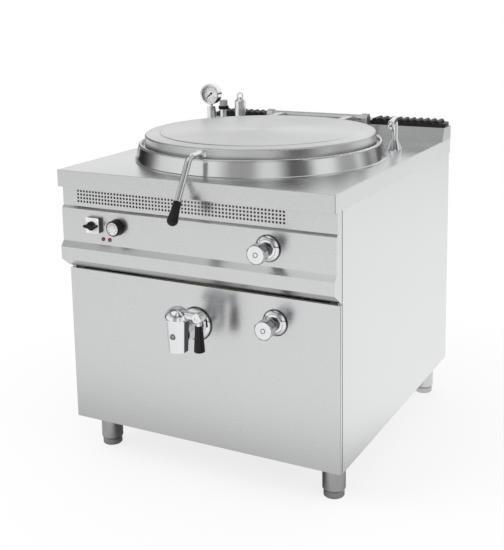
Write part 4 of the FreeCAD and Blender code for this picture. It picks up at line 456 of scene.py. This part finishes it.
def tap_chrome(name, colour, axis, recess):
    """Chrome of the drain tap: its side faces and its recess's rim are painted dark, as painted
    reflections of the dark of the room and painted shade in the recess.
    """
    finish = Finish(name, Metallic=1.0)
    out = finish.vector("SUBTRACT", finish.place(), axis)
    unit = finish.vector("NORMALIZE", finish.vector("MULTIPLY", out, (1.0, 1.0, 0.0)))
    sideways = finish.vector("DOT_PRODUCT", unit, (1.0, 0.0, 0.0), "Value")
    faces = finish.ramp(finish.math("ABSOLUTE", sideways), TAP_PAINTED_SIDES)
    apart = finish.vector("DISTANCE", finish.place(), recess, "Value")
    return chrome_with_painted_shade(finish, colour, faces * finish.ramp(apart / RECESS_RADIUS, RECESS_PAINTED_SHADE))


def moulded(name, colour, gloss=0.25, shine=0.5):
    """Moulded plastic with a fine skin and slightly uneven gloss."""
    finish = Finish(name, IOR=1.5, Specular_IOR_Level=shine)
    skin = finish.noise(finish.place(), scale=1400.0, roughness=0.6)
    rub = finish.noise(finish.place(), scale=45.0, detail=4.0, roughness=0.55)
    finish.set("Base Color", finish.mix(rub, shade(colour, 0.85), shade(colour, 1.15)))
    finish.set("Roughness", finish.between(rub, gloss * 0.75, gloss * 1.3))
    finish.set("Normal", finish.bump(skin, distance=0.00005, strength=0.5))
    return finish.material


def cast(name, colour, gloss=0.42, metallic=0.0, shine=0.5):
    """Enamelled casting: a pebbled skin with soft hollows."""
    finish = Finish(name, Metallic=metallic, Specular_IOR_Level=shine)
    pebble = finish.noise(finish.place(), scale=520.0, detail=3.0, roughness=0.6)
    hollow = finish.noise(finish.place(), scale=90.0)
    finish.set("Base Color", finish.mix(pebble, shade(colour, 0.7), shade(colour, 1.35)))
    finish.set("Roughness", finish.between(hollow, gloss * 0.75, gloss * 1.25))
    dents = finish.bump(hollow, distance=0.0009, strength=0.4)
    skin = finish.bump(pebble, distance=0.00035, strength=0.5, normal=dents)
    finish.set("Normal", skin)
    return finish.material


def woven(name, colour):
    """Mineral wool: tangled fibres."""
    finish = Finish(name, Roughness=0.95)
    drawn = finish.vector("MULTIPLY", finish.place(), (300.0, 300.0, 1100.0))
    fibre = finish.noise(drawn, detail=4.0, roughness=0.7)
    finish.set("Base Color", finish.mix(fibre, shade(colour, 0.7), shade(colour, 1.15)))
    finish.set("Normal", finish.bump(fibre, distance=0.0015, strength=0.8))
    return finish.material


def clear_glass(name):
    """Thin flat glass with a trace of dust."""
    finish = Finish(name, Transmission_Weight=1.0, IOR=1.12, Base_Color=WHITE)
    dust = finish.noise(finish.place(), scale=700.0, detail=3.0, roughness=0.6)
    finish.set("Roughness", finish.between(dust, 0.0, 0.05))
    return finish.material


def lens_plastic(name, colour):
    """Pilot lamp lens: deep coloured plastic under a glossy skin."""
    finish = Finish(name, IOR=1.49, Coat_Weight=0.6, Coat_Roughness=0.05)
    grain = finish.noise(finish.place(), scale=900.0)
    finish.set("Base Color", finish.mix(grain, shade(colour, 0.8), shade(colour, 1.4)))
    finish.set("Roughness", finish.between(grain, 0.12, 0.25))
    return finish.material


# Mesh building

def new_piece(name, mesh, material, body, smooth_angle=None):
    """A finished piece: its mesh is already in place, so its object stays at the origin."""
    piece = bpy.data.objects.new(name, mesh)
    bpy.context.scene.collection.objects.link(piece)
    if material is not None:
        mesh.materials.clear()
        mesh.materials.append(material)
    if smooth_angle is not None:
        mesh.shade_smooth()
        mesh.set_sharp_from_angle(angle=smooth_angle)
    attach(piece, body)
    return piece


def turned_mesh(name, profile, sides, place):
    """A closed form turned round +Z from radius and height pairs, then placed by a matrix."""
    bm = bmesh.new()
    rings = []
    for radius, height in profile:
        ring = []
        for step in range(sides if radius > 0 else 1):
            angle = 2 * math.pi * step / sides
            ring.append(bm.verts.new((radius * math.cos(angle), radius * math.sin(angle), height)))
        rings.append(ring)
    for low, high in zip(rings, rings[1:]):
        for step in range(sides):
            after = (step + 1) % sides
            corners = [low[step % len(low)], low[after % len(low)],
                       high[after % len(high)], high[step % len(high)]]
            bm.faces.new(tuple(dict.fromkeys(corners)))     # a pole counts once
    bmesh.ops.transform(bm, matrix=place, verts=bm.verts)
    bmesh.ops.recalc_face_normals(bm, faces=bm.faces)
    mesh = bpy.data.meshes.new(name)
    bm.to_mesh(mesh)
    bm.free()
    return mesh


def facing_front(x, y, z):
    """Turns +Z to the user's side and moves it to a place."""
    return Matrix.Translation((x, y, z)) @ Matrix.Rotation(math.pi / 2, 4, "X")


def middle(node):
    """The centre of a CAD node's box."""
    low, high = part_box(node)
    return (Vector(low) + Vector(high)) / 2


def front_of(node):
    """The place of a CAD node's foremost face along Y."""
    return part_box(node)[0][1]


class MarkTree:
    """Geometry Nodes that set copies of a small mark round an arc, as one plain mesh."""

    SIZES = (("Steps", "NodeSocketInt", 10), ("Sweep", "NodeSocketFloat", math.pi),
             ("Radius", "NodeSocketFloat", 0.02), ("Length", "NodeSocketFloat", 0.002),
             ("Width", "NodeSocketFloat", 0.0004), ("Height", "NodeSocketFloat", PRINT))

    def __init__(self, name):
        self.group = bpy.data.node_groups.new(name, "GeometryNodeTree")
        self.sockets = {}
        for label, kind, value in self.SIZES:
            socket = self.group.interface.new_socket(label, in_out="INPUT", socket_type=kind)
            socket.default_value = value
            self.sockets[label] = socket.identifier
        self.material = self.group.interface.new_socket(
            "Finish", in_out="INPUT", socket_type="NodeSocketMaterial")
        self.group.interface.new_socket(
            "Marks", in_out="OUTPUT", socket_type="NodeSocketGeometry")
        self.build()

    def node(self, kind, settings=None, inputs=None, output=0):
        node = self.group.nodes.new(kind)
        for name, value in (settings or {}).items():
            setattr(node, name, value)
        for name, value in (inputs or {}).items():
            if isinstance(value, bpy.types.NodeSocket):
                self.group.links.new(value, node.inputs[name])
            else:
                node.inputs[name].default_value = value
        return node.outputs[output]

    def math(self, operation, a, b=0.0):
        return self.node("ShaderNodeMath", {"operation": operation}, {0: a, 1: b})

    def combine(self, **parts):
        return self.node("ShaderNodeCombineXYZ", None, parts)

    def build(self):
        """Spreads points by their angle, sets a mark on each and joins the marks."""
        given = self.group.nodes.new("NodeGroupInput").outputs
        count = self.math("ADD", given["Steps"], 1.0)
        points = self.node("GeometryNodePoints", None, {"Count": count})
        index = self.node("GeometryNodeInputIndex")
        turn = self.math("MULTIPLY", self.math("DIVIDE", index, given["Steps"]), given["Sweep"])
        start = self.math("ADD", self.math("MULTIPLY", given["Sweep"], 0.5), math.pi / 2)
        angle = self.math("SUBTRACT", start, turn)
        x = self.math("MULTIPLY", self.math("COSINE", angle), given["Radius"])
        y = self.math("MULTIPLY", self.math("SINE", angle), given["Radius"])
        spread = {"Geometry": points, "Position": self.combine(X=x, Y=y)}
        moved = self.node("GeometryNodeSetPosition", None, spread)
        size = self.combine(X=given["Length"], Y=given["Width"], Z=given["Height"])
        mark = self.node("GeometryNodeMeshCube", None, {"Size": size}, "Mesh")
        placed = {"Points": moved, "Instance": mark, "Rotation": self.combine(Z=angle)}
        copies = self.node("GeometryNodeInstanceOnPoints", None, placed)
        real = self.node("GeometryNodeRealizeInstances", None, {"Geometry": copies})
        paint = {"Geometry": real, "Material": given["Finish"]}
        painted = self.node("GeometryNodeSetMaterial", None, paint)
        out = self.group.nodes.new("NodeGroupOutput")
        self.group.links.new(painted, out.inputs[0])

    def mesh(self, name, finish, **sizes):
        """Runs the tree on an empty mesh and returns what it makes."""
        holder = bpy.data.objects.new(name + "_maker", bpy.data.meshes.new(name + "_maker"))
        bpy.context.scene.collection.objects.link(holder)
        modifier = holder.modifiers.new("marks", "NODES")
        modifier.node_group = self.group
        for label, value in sizes.items():
            modifier[self.sockets[label.capitalize()]] = value
        modifier[self.material.identifier] = finish
        evaluated = holder.evaluated_get(bpy.context.evaluated_depsgraph_get())
        mesh = bpy.data.meshes.new_from_object(evaluated)
        mesh.name = name
        bpy.data.objects.remove(holder)
        return mesh


def dress(finish, *nodes):
    """Gives CAD nodes a finish in each of their material slots."""
    for node in nodes:
        for slot in NODES[node].material_slots:
            slot.material = finish


# Operators

class KETTLE_OT_sheets(bpy.types.Operator):
    """Give the cabinet's sheets their brushed finish"""

    bl_idname = "kettle.sheets"
    bl_label = "Cabinet sheets"

    def execute(self, context):
        steel = context.scene.kettle_steel
        colour = tuple(steel.colour)
        across = brushed("steel_across", "X", steel, depth=0.6, haze=0.5)
        # The side panels are a paler copy of the steel: painted light.
        upright = brushed("steel_upright_painted_light", "Z", steel, shade(colour, 1.16),
                          gloss=steel.gloss + 0.1, depth=0.6, haze=0.4)
        # The upstand is a darker copy of the steel: painted shade.
        upstand = brushed("steel_upstand_painted_shade", "X", steel, shade(colour, 0.78), depth=0.6, haze=0.5)
        # The leg tubes and the feet are darker copies of the steel: painted shade.
        tube = brushed("steel_tube_painted_shade", "Z", steel, shade(colour, 0.88), gloss=0.2, haze=0.6)
        foot = brushed("steel_foot_painted_shade", "Z", steel, shade(colour, 0.7), gloss=0.26)
        dress(across, "worktop", "control_panel", "vent_band", "front_panel", "rear_panel",
              "floor_pan")
        dress(upright, "side_panels")
        dress(upstand, "upstand")
        dress(tube, "leg_tubes")
        dress(foot, "foot_front_left", "foot_front_right", "foot_rear_left", "foot_rear_right")
        dress(cast("zinc", ZINC, gloss=0.4, metallic=0.8), "frame")
        return {"FINISHED"}


class KETTLE_OT_vessel(bpy.types.Operator):
    """Give the vessel, its collar and its lid their satin finish"""

    bl_idname = "kettle.vessel"
    bl_label = "Vessel and lid"

    def execute(self, context):
        steel = context.scene.kettle_steel
        turned = brushed("steel_turned", "ROUND", steel, gloss=0.14, depth=0.6, haze=0.6,
                         stretch=0.0)
        satin = brushed("steel_satin", "ROUND", steel, gloss=0.33, depth=0.5, haze=1.6)
        plain = brushed("steel_plain", "X", steel, gloss=0.3, depth=0.8)
        # The lid's handle is a paler copy of the steel: painted light.
        bar = brushed("steel_bar_painted_light", "Z", steel, shade(tuple(steel.colour), 1.2), gloss=0.2,
                      depth=0.8, haze=0.8, stretch=0.0)
        dress(turned, "collar", "inner_vessel", "drain_strainer")
        dress(satin, "lid_shell", "lid_liner")
        dress(plain, "lid_hinge", "hinge_brackets", "jacket_shell", "drain_pipe")
        dress(bar, "lid_handle")
        sheath = cast("heater_sheath", HEATER_SHEATH, gloss=0.45, metallic=0.9)
        dress(sheath, "heating_elements")
        dress(woven("mineral_wool", MINERAL_WOOL), "insulation")
        return {"FINISHED"}


class KETTLE_OT_grille(bpy.types.Operator):
    """Give the flue grille its enamel"""

    bl_idname = "kettle.grille"
    bl_label = "Flue grille"

    def execute(self, context):
        fittings = context.scene.kettle_fittings
        ends = cast("black_enamel", tuple(fittings.casting), gloss=0.36, shine=BLACK_SHINE)
        centre = cast("grey_enamel", tuple(fittings.casting_middle), gloss=0.35)
        dress(ends, "flue_grille_ends")
        dress(centre, "flue_grille_centre")
        return {"FINISHED"}


class KETTLE_OT_taps(bpy.types.Operator):
    """Chrome the drain tap and the water taps, and add their index discs"""

    bl_idname = "kettle.taps"
    bl_label = "Taps and spout"

    def execute(self, context):
        fittings = context.scene.kettle_fittings
        chrome = tuple(fittings.chrome)
        dress(polished("chrome", chrome), "drain_lever", "spout_base", "spout")
        self.drain_tap(chrome)
        self.water_taps(chrome)
        bakelite = moulded("bakelite", tuple(fittings.bakelite), gloss=0.14, shine=BLACK_SHINE)
        dress(bakelite, "lid_grip", "drain_grip")
        disc = moulded("index_disc", tuple(fittings.disc), gloss=0.3)
        for node, body in (("fill_tap_knob", "fill_tap"), ("level_tap_knob", "level_tap")):
            self.index_disc(node, body, disc)
        return {"FINISHED"}

    def drain_tap(self, chrome):
        """The drain tap's body, its rosette and its brass plug."""
        axis = middle("drain_plug")
        recess = (axis.x, front_of("drain_valve_body") + RECESS_DEPTH,
                  middle("drain_pipe").z + RECESS_RISE)
        # The drain rosette gets painted dark rings: painted shade and dark reflections.
        rosette = chrome_with_painted_rings("drain_rosette_chrome", chrome, DRAIN_ROSETTE_RADIUS, ROSETTE_PAINTED_RINGS,
                         middle("drain_rosette"))
        # The drain tap's body gets painted dark sides and a painted dark recess: painted shade and
        # painted reflections.
        dress(tap_chrome("drain_tap_chrome", chrome, tuple(axis), recess), "drain_valve_body")
        dress(rosette, "drain_rosette")
        dress(polished("brass", BRASS, gloss=0.25), "drain_plug")

    def water_taps(self, chrome):
        """The fill tap and the level tap, with their rosettes, knobs and pipes."""
        axes = [middle("fill_tap_knob"), middle("level_tap_knob")]
        # The bonnets are a darker copy of the chrome: painted shade between knob and rosette.
        bonnet = polished("bonnet_chrome_painted_shade", BONNET_PAINTED_SHADE, gloss=0.1)
        # The rosettes and knobs get painted dark rings: painted shade and dark reflections.
        rosettes = chrome_with_painted_rings("rosette_chrome", chrome, ROSETTE_RADIUS, ROSETTE_PAINTED_RINGS, *axes)
        knobs = chrome_with_painted_rings("knob_chrome", chrome, KNOB_RADIUS, KNOB_PAINTED_RINGS, *axes)
        dress(bonnet, "fill_tap_valve", "level_tap_valve")
        dress(rosettes, "tap_rosettes")
        dress(knobs, "fill_tap_knob", "level_tap_knob")
        dress(polished("copper", COPPER, gloss=0.3), "water_pipes")

    def index_disc(self, node, body, finish):
        """A small raised disc with a ring in the middle of a tap knob."""
        centre = middle(node)
        seat = facing_front(centre.x, front_of(node) + SEAT, centre.z)
        profile = [(0, 0), (INDEX_RADIUS - INDEX_EDGE / 2, 0),
                   (INDEX_RADIUS, INDEX_HEIGHT - INDEX_FLOOR),
                   (INDEX_RADIUS - INDEX_EDGE, INDEX_HEIGHT), (INDEX_HOLLOW, INDEX_HEIGHT),
                   (INDEX_HOLLOW - INDEX_EDGE, INDEX_FLOOR), (0, INDEX_FLOOR)]
        disc = turned_mesh(node + "_index", profile, INDEX_SIDES, seat)
        new_piece(node + "_index", disc, finish, body, SHARP_EDGE)


class KETTLE_OT_controls(bpy.types.Operator):
    """Finish the switch, the thermostat and the lamps"""

    bl_idname = "kettle.controls"
    bl_label = "Switch and thermostat"

    def execute(self, context):
        fittings = context.scene.kettle_fittings
        black = moulded("knob_black", tuple(fittings.bakelite), gloss=0.2, shine=BLACK_SHINE)
        dress(black, "switch_knob", "thermostat_knob", "switch_block", "thermostat_block")
        dress(moulded("switch_white", TERMINAL_WHITE, gloss=0.2), "terminal_block")
        dress(self.plate_finish(fittings), "switch_plate")
        dress(lens_plastic("lamp_lens", tuple(fittings.lens)), "pilot_lamps")
        dress(moulded("dark_grey", GLAND_GREY, gloss=0.35), "cable_gland")
        self.thermostat_face(context)
        return {"FINISHED"}

    def plate_finish(self, fittings):
        """White in front and black on its sides, as a printed front plate on a black base."""
        finish = Finish("switch_plate", IOR=1.5)
        y = finish.split(finish.place())[1]
        behind = finish.math("GREATER_THAN", y, front_of("switch_plate") + PLATE_FRONT)
        rub = finish.noise(finish.place(), scale=60.0, detail=4.0, roughness=0.55)
        skin = finish.noise(finish.place(), scale=1400.0)
        white = finish.mix(rub, PLATE_DULL, PLATE_BRIGHT)
        finish.set("Base Color", finish.mix(behind, white, tuple(fittings.bakelite)))
        finish.set("Roughness", finish.between(rub, 0.18, 0.28))
        finish.set("Normal", finish.bump(skin, distance=0.00004, strength=0.4))
        return finish.material

    def thermostat_face(self, context):
        """A silver disc in the thermostat's knob, with its printed scale."""
        marks = context.scene.kettle_marks
        front = front_of("thermostat_knob")
        centre = middle("thermostat_knob")
        profile = [(0, 0), (FACE_RADIUS, 0), (FACE_RADIUS, FACE_HEIGHT - FACE_DROP),
                   (FACE_RADIUS - FACE_EDGE, FACE_HEIGHT), (0, FACE_HEIGHT)]
        seat = facing_front(centre.x, front + SEAT, centre.z)
        disc = turned_mesh("thermostat_face", profile, FACE_SIDES, seat)
        silver = polished("knob_face", SILVER, gloss=0.3)
        new_piece("thermostat_face", disc, silver, "thermostat", SHARP_EDGE)
        ink = moulded("ink", INK, gloss=0.4, shine=INK_SHINE)
        scale = MarkTree("scale_marks").mesh(
            "thermostat_marks", ink, steps=marks.scale_steps, sweep=marks.scale_sweep,
            radius=SCALE_RADIUS, length=SCALE_LENGTH, width=SCALE_WIDTH, height=PRINT)
        scale.transform(facing_front(centre.x, front + PRINT / 2, centre.z))
        new_piece("thermostat_marks", scale, None, "thermostat")


class KETTLE_OT_gauge(bpy.types.Operator):
    """Finish the gauge and the valves behind the vessel, and print the gauge's dial"""

    bl_idname = "kettle.gauge"
    bl_label = "Gauge and valves"

    def execute(self, context):
        fittings = context.scene.kettle_fittings
        chrome = polished("fitting_chrome", tuple(fittings.chrome), gloss=0.1)
        wheel = moulded("wheel_black", tuple(fittings.bakelite), gloss=0.3, shine=BLACK_SHINE)
        dress(chrome, "gauge_stem", "gauge_case", "vent_valve_body", "safety_valve_body",
              "safety_lever")
        dress(moulded("dial_paint", tuple(fittings.dial), gloss=0.4), "gauge_dial")
        dress(moulded("needle_paint", INK, gloss=0.4, shine=INK_SHINE), "gauge_needle")
        dress(clear_glass("gauge_glass"), "gauge_glass")
        dress(wheel, "vent_wheel")
        dress(moulded("cap_grey", CAP_GREY, gloss=0.3), "vent_cap")
        self.dial_marks(context)
        return {"FINISHED"}

    def dial_marks(self, context):
        """Prints fine marks round the dial, with bold ones over some of them."""
        marks = context.scene.kettle_marks
        centre = middle("gauge_dial")
        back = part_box("gauge_dial")[1][1]
        face = facing_front(centre.x, back - DIAL_THICKNESS, centre.z)
        ink = moulded("dial_ink", INK, gloss=0.4, shine=INK_SHINE)
        tree = MarkTree("dial_marks")
        for name, steps, (length, width) in (
                ("dial_fine", marks.dial_steps, FINE_MARK),
                ("dial_bold", marks.dial_steps // BOLD_EVERY, BOLD_MARK)):
            mesh = tree.mesh(name, ink, steps=steps, sweep=marks.dial_sweep,
                             radius=DIAL_REACH - length / 2, length=length, width=width,
                             height=PRINT)
            mesh.transform(face)
            new_piece(name, mesh, None, "cabinet")


class KETTLE_OT_stage(bpy.types.Operator):
    """Build the floor, the lamps, the room and the camera"""

    bl_idname = "kettle.stage"
    bl_label = "Stage"

    def execute(self, context):
        studio = context.scene.kettle_studio
        self.floor(studio)
        self.lamp("key_lamp", KEY_PLACE, KEY_SIZE, studio.key_power)
        self.lamp("fill_lamp", FILL_PLACE, FILL_SIZE, studio.fill_power)
        self.room(context, studio)
        self.camera(context)
        context.scene.view_settings.view_transform = "Standard"
        return {"FINISHED"}

    def floor(self, studio):
        """A large flat floor under the feet."""
        mesh = bpy.data.meshes.new("floor")
        bm = bmesh.new()
        bmesh.ops.create_grid(bm, x_segments=1, y_segments=1, size=FLOOR_HALF_WIDTH)
        bm.to_mesh(mesh)
        bm.free()
        mesh.materials.append(self.floor_finish(studio))
        floor = bpy.data.objects.new("floor", mesh)
        bpy.context.scene.collection.objects.link(floor)

    def floor_finish(self, studio):
        """Pale paint. The camera sees it turn white away from the feet, and metal sees it grey."""
        finish = Finish("floor_paint", Roughness=0.9, Specular_IOR_Level=0.1)
        colour = tuple(studio.floor)
        speck = finish.noise(finish.place(), scale=30.0, detail=3.0)
        finish.set("Base Color", finish.mix(speck, shade(colour, 0.99), shade(colour, 1.01)))
        seen, glossy, through = finish.rays("Is Camera Ray", "Is Glossy Ray", "Is Transmission Ray")
        x, y = finish.split(finish.place())[:2]
        away = finish.vector("LENGTH", finish.place(), output="Value") / FLOOR_REACH
        clear = finish.ramp(away, [(0.0, studio.floor_near), (FLOOR_NEAR_END, studio.floor_near),
                                   (FLOOR_WHITE_FROM, 1.0)])
        front = finish.ramp(y * FLOOR_SCALE + 0.5, FLOOR_FRONT)
        side = finish.ramp(x * FLOOR_SCALE + 0.5, FLOOR_SIDE)
        gaps = finish.ramp(finish.bearing(x, y), FLOOR_GAPS) * finish.ramp(away, FLOOR_FAR)
        # Metal sees the floor with a painted shadow under the cabinet.
        mirrored = front * side * finish.ramp(away, FLOOR_PAINTED_SHADOW) * (1.0 - gaps)
        level = seen + through + glossy * mirrored
        grey = finish.node("ShaderNodeCombineXYZ", None, {0: level, 1: level, 2: level})
        glow = finish.node("ShaderNodeEmission", None, {"Color": grey, "Strength": 1.0})
        share = finish.math("MINIMUM", (seen + through) * clear + glossy, 1.0)
        paint = Value(finish, finish.surface.outputs["BSDF"])
        blend = finish.node("ShaderNodeMixShader", None, {0: share, 1: paint, 2: glow})
        finish.plug(finish.output.inputs["Surface"], blend)
        return finish.material

    def lamp(self, name, place, size, power):
        """A square lamp that points at the kettle. Metal doesn't mirror it."""
        light = bpy.data.lights.new(name, "AREA")
        light.shape = "SQUARE"
        light.size = size
        light.energy = power
        lamp = bpy.data.objects.new(name, light)
        lamp.location = place
        aim = Vector(LAMP_AIM) - Vector(place)
        lamp.rotation_euler = aim.to_track_quat("-Z", "Y").to_euler()
        lamp.visible_glossy = False
        bpy.context.scene.collection.objects.link(lamp)

    def room(self, context, studio):
        """A white room. Metal sees its screens, the dark gaps between them and a dark horizon."""
        world = bpy.data.worlds.new("room")
        context.scene.world = world
        room = Finish("room", world)
        x, y, z = room.split(room.node("ShaderNodeTexCoord", output="Generated"))
        behind = room.ramp(z, ROOM_BEHIND)
        ahead = room.ramp(z, ROOM_AHEAD)
        share = room.ramp(y * 0.5 + 0.5, AHEAD_SHARE)
        posts = room.ramp(room.bearing(x, y), ROOM_POSTS)
        mirrored = (behind + share * (ahead - behind)) * posts
        seen, glossy = room.rays("Is Camera Ray", "Is Glossy Ray")
        level = glossy * (mirrored - studio.ambient) + studio.ambient
        shown = seen * (1.0 - level) + level
        light = room.node("ShaderNodeBackground", None, {"Color": WHITE, "Strength": shown})
        output = room.tree.nodes.new("ShaderNodeOutputWorld")
        room.plug(output.inputs["Surface"], light)

    def camera(self, context):
        """The camera, placed and turned as the photograph's."""
        yaw, pitch, roll = map(math.radians, (CAMERA_YAW, CAMERA_PITCH, CAMERA_ROLL))
        level = math.cos(pitch)
        ahead = Vector((-math.sin(yaw) * level, math.cos(yaw) * level, -math.sin(pitch)))
        side = Vector((math.cos(yaw), math.sin(yaw), 0.0))
        up = side.cross(ahead)
        right = math.cos(roll) * side + math.sin(roll) * up
        top = -math.sin(roll) * side + math.cos(roll) * up
        data = bpy.data.cameras.new("camera")
        data.sensor_width = SENSOR_WIDTH
        data.lens = FOCAL_LENGTH * SENSOR_WIDTH / PICTURE_HEIGHT
        data.shift_x = (PICTURE_WIDTH / 2 - CENTRE_X) / PICTURE_HEIGHT
        data.shift_y = (CENTRE_Y - PICTURE_HEIGHT / 2) / PICTURE_HEIGHT
        data.clip_end = VIEW_END
        camera = bpy.data.objects.new("camera", data)
        turn = Matrix((right, top, -ahead)).transposed().to_4x4()
        camera.matrix_world = Matrix.Translation(CAMERA_PLACE) @ turn
        context.scene.collection.objects.link(camera)
        context.scene.camera = camera


STEPS = (KETTLE_OT_sheets, KETTLE_OT_vessel, KETTLE_OT_grille, KETTLE_OT_taps,
         KETTLE_OT_controls, KETTLE_OT_gauge, KETTLE_OT_stage)
GROUPS = {"kettle_steel": KettleSteel, "kettle_fittings": KettleFittings,
          "kettle_marks": KettleMarks, "kettle_studio": KettleStudio}


class KETTLE_PT_panel(bpy.types.Panel):
    """Lists the kettle's sizes, colours and steps"""

    bl_idname = "KETTLE_PT_panel"
    bl_label = "Kettle"
    bl_space_type = "VIEW_3D"
    bl_region_type = "UI"
    bl_category = "Kettle"

    def draw(self, context):
        for name, group in GROUPS.items():
            box = self.layout.box()
            for label in group.__annotations__:
                box.prop(getattr(context.scene, name), label)
        for step in STEPS:
            self.layout.operator(step.bl_idname)


def register():
    for item in (*GROUPS.values(), *STEPS, KETTLE_PT_panel):
        bpy.utils.register_class(item)
    for name, group in GROUPS.items():
        setattr(bpy.types.Scene, name, PointerProperty(type=group))


def unregister():
    for name in GROUPS:
        delattr(bpy.types.Scene, name)
    for item in (KETTLE_PT_panel, *reversed(STEPS), *reversed(tuple(GROUPS.values()))):
        bpy.utils.unregister_class(item)


def main():
    register()
    for step in STEPS:
        area, name = step.bl_idname.split(".")
        getattr(getattr(bpy.ops, area), name)()


if __name__ == "__main__":
    main()
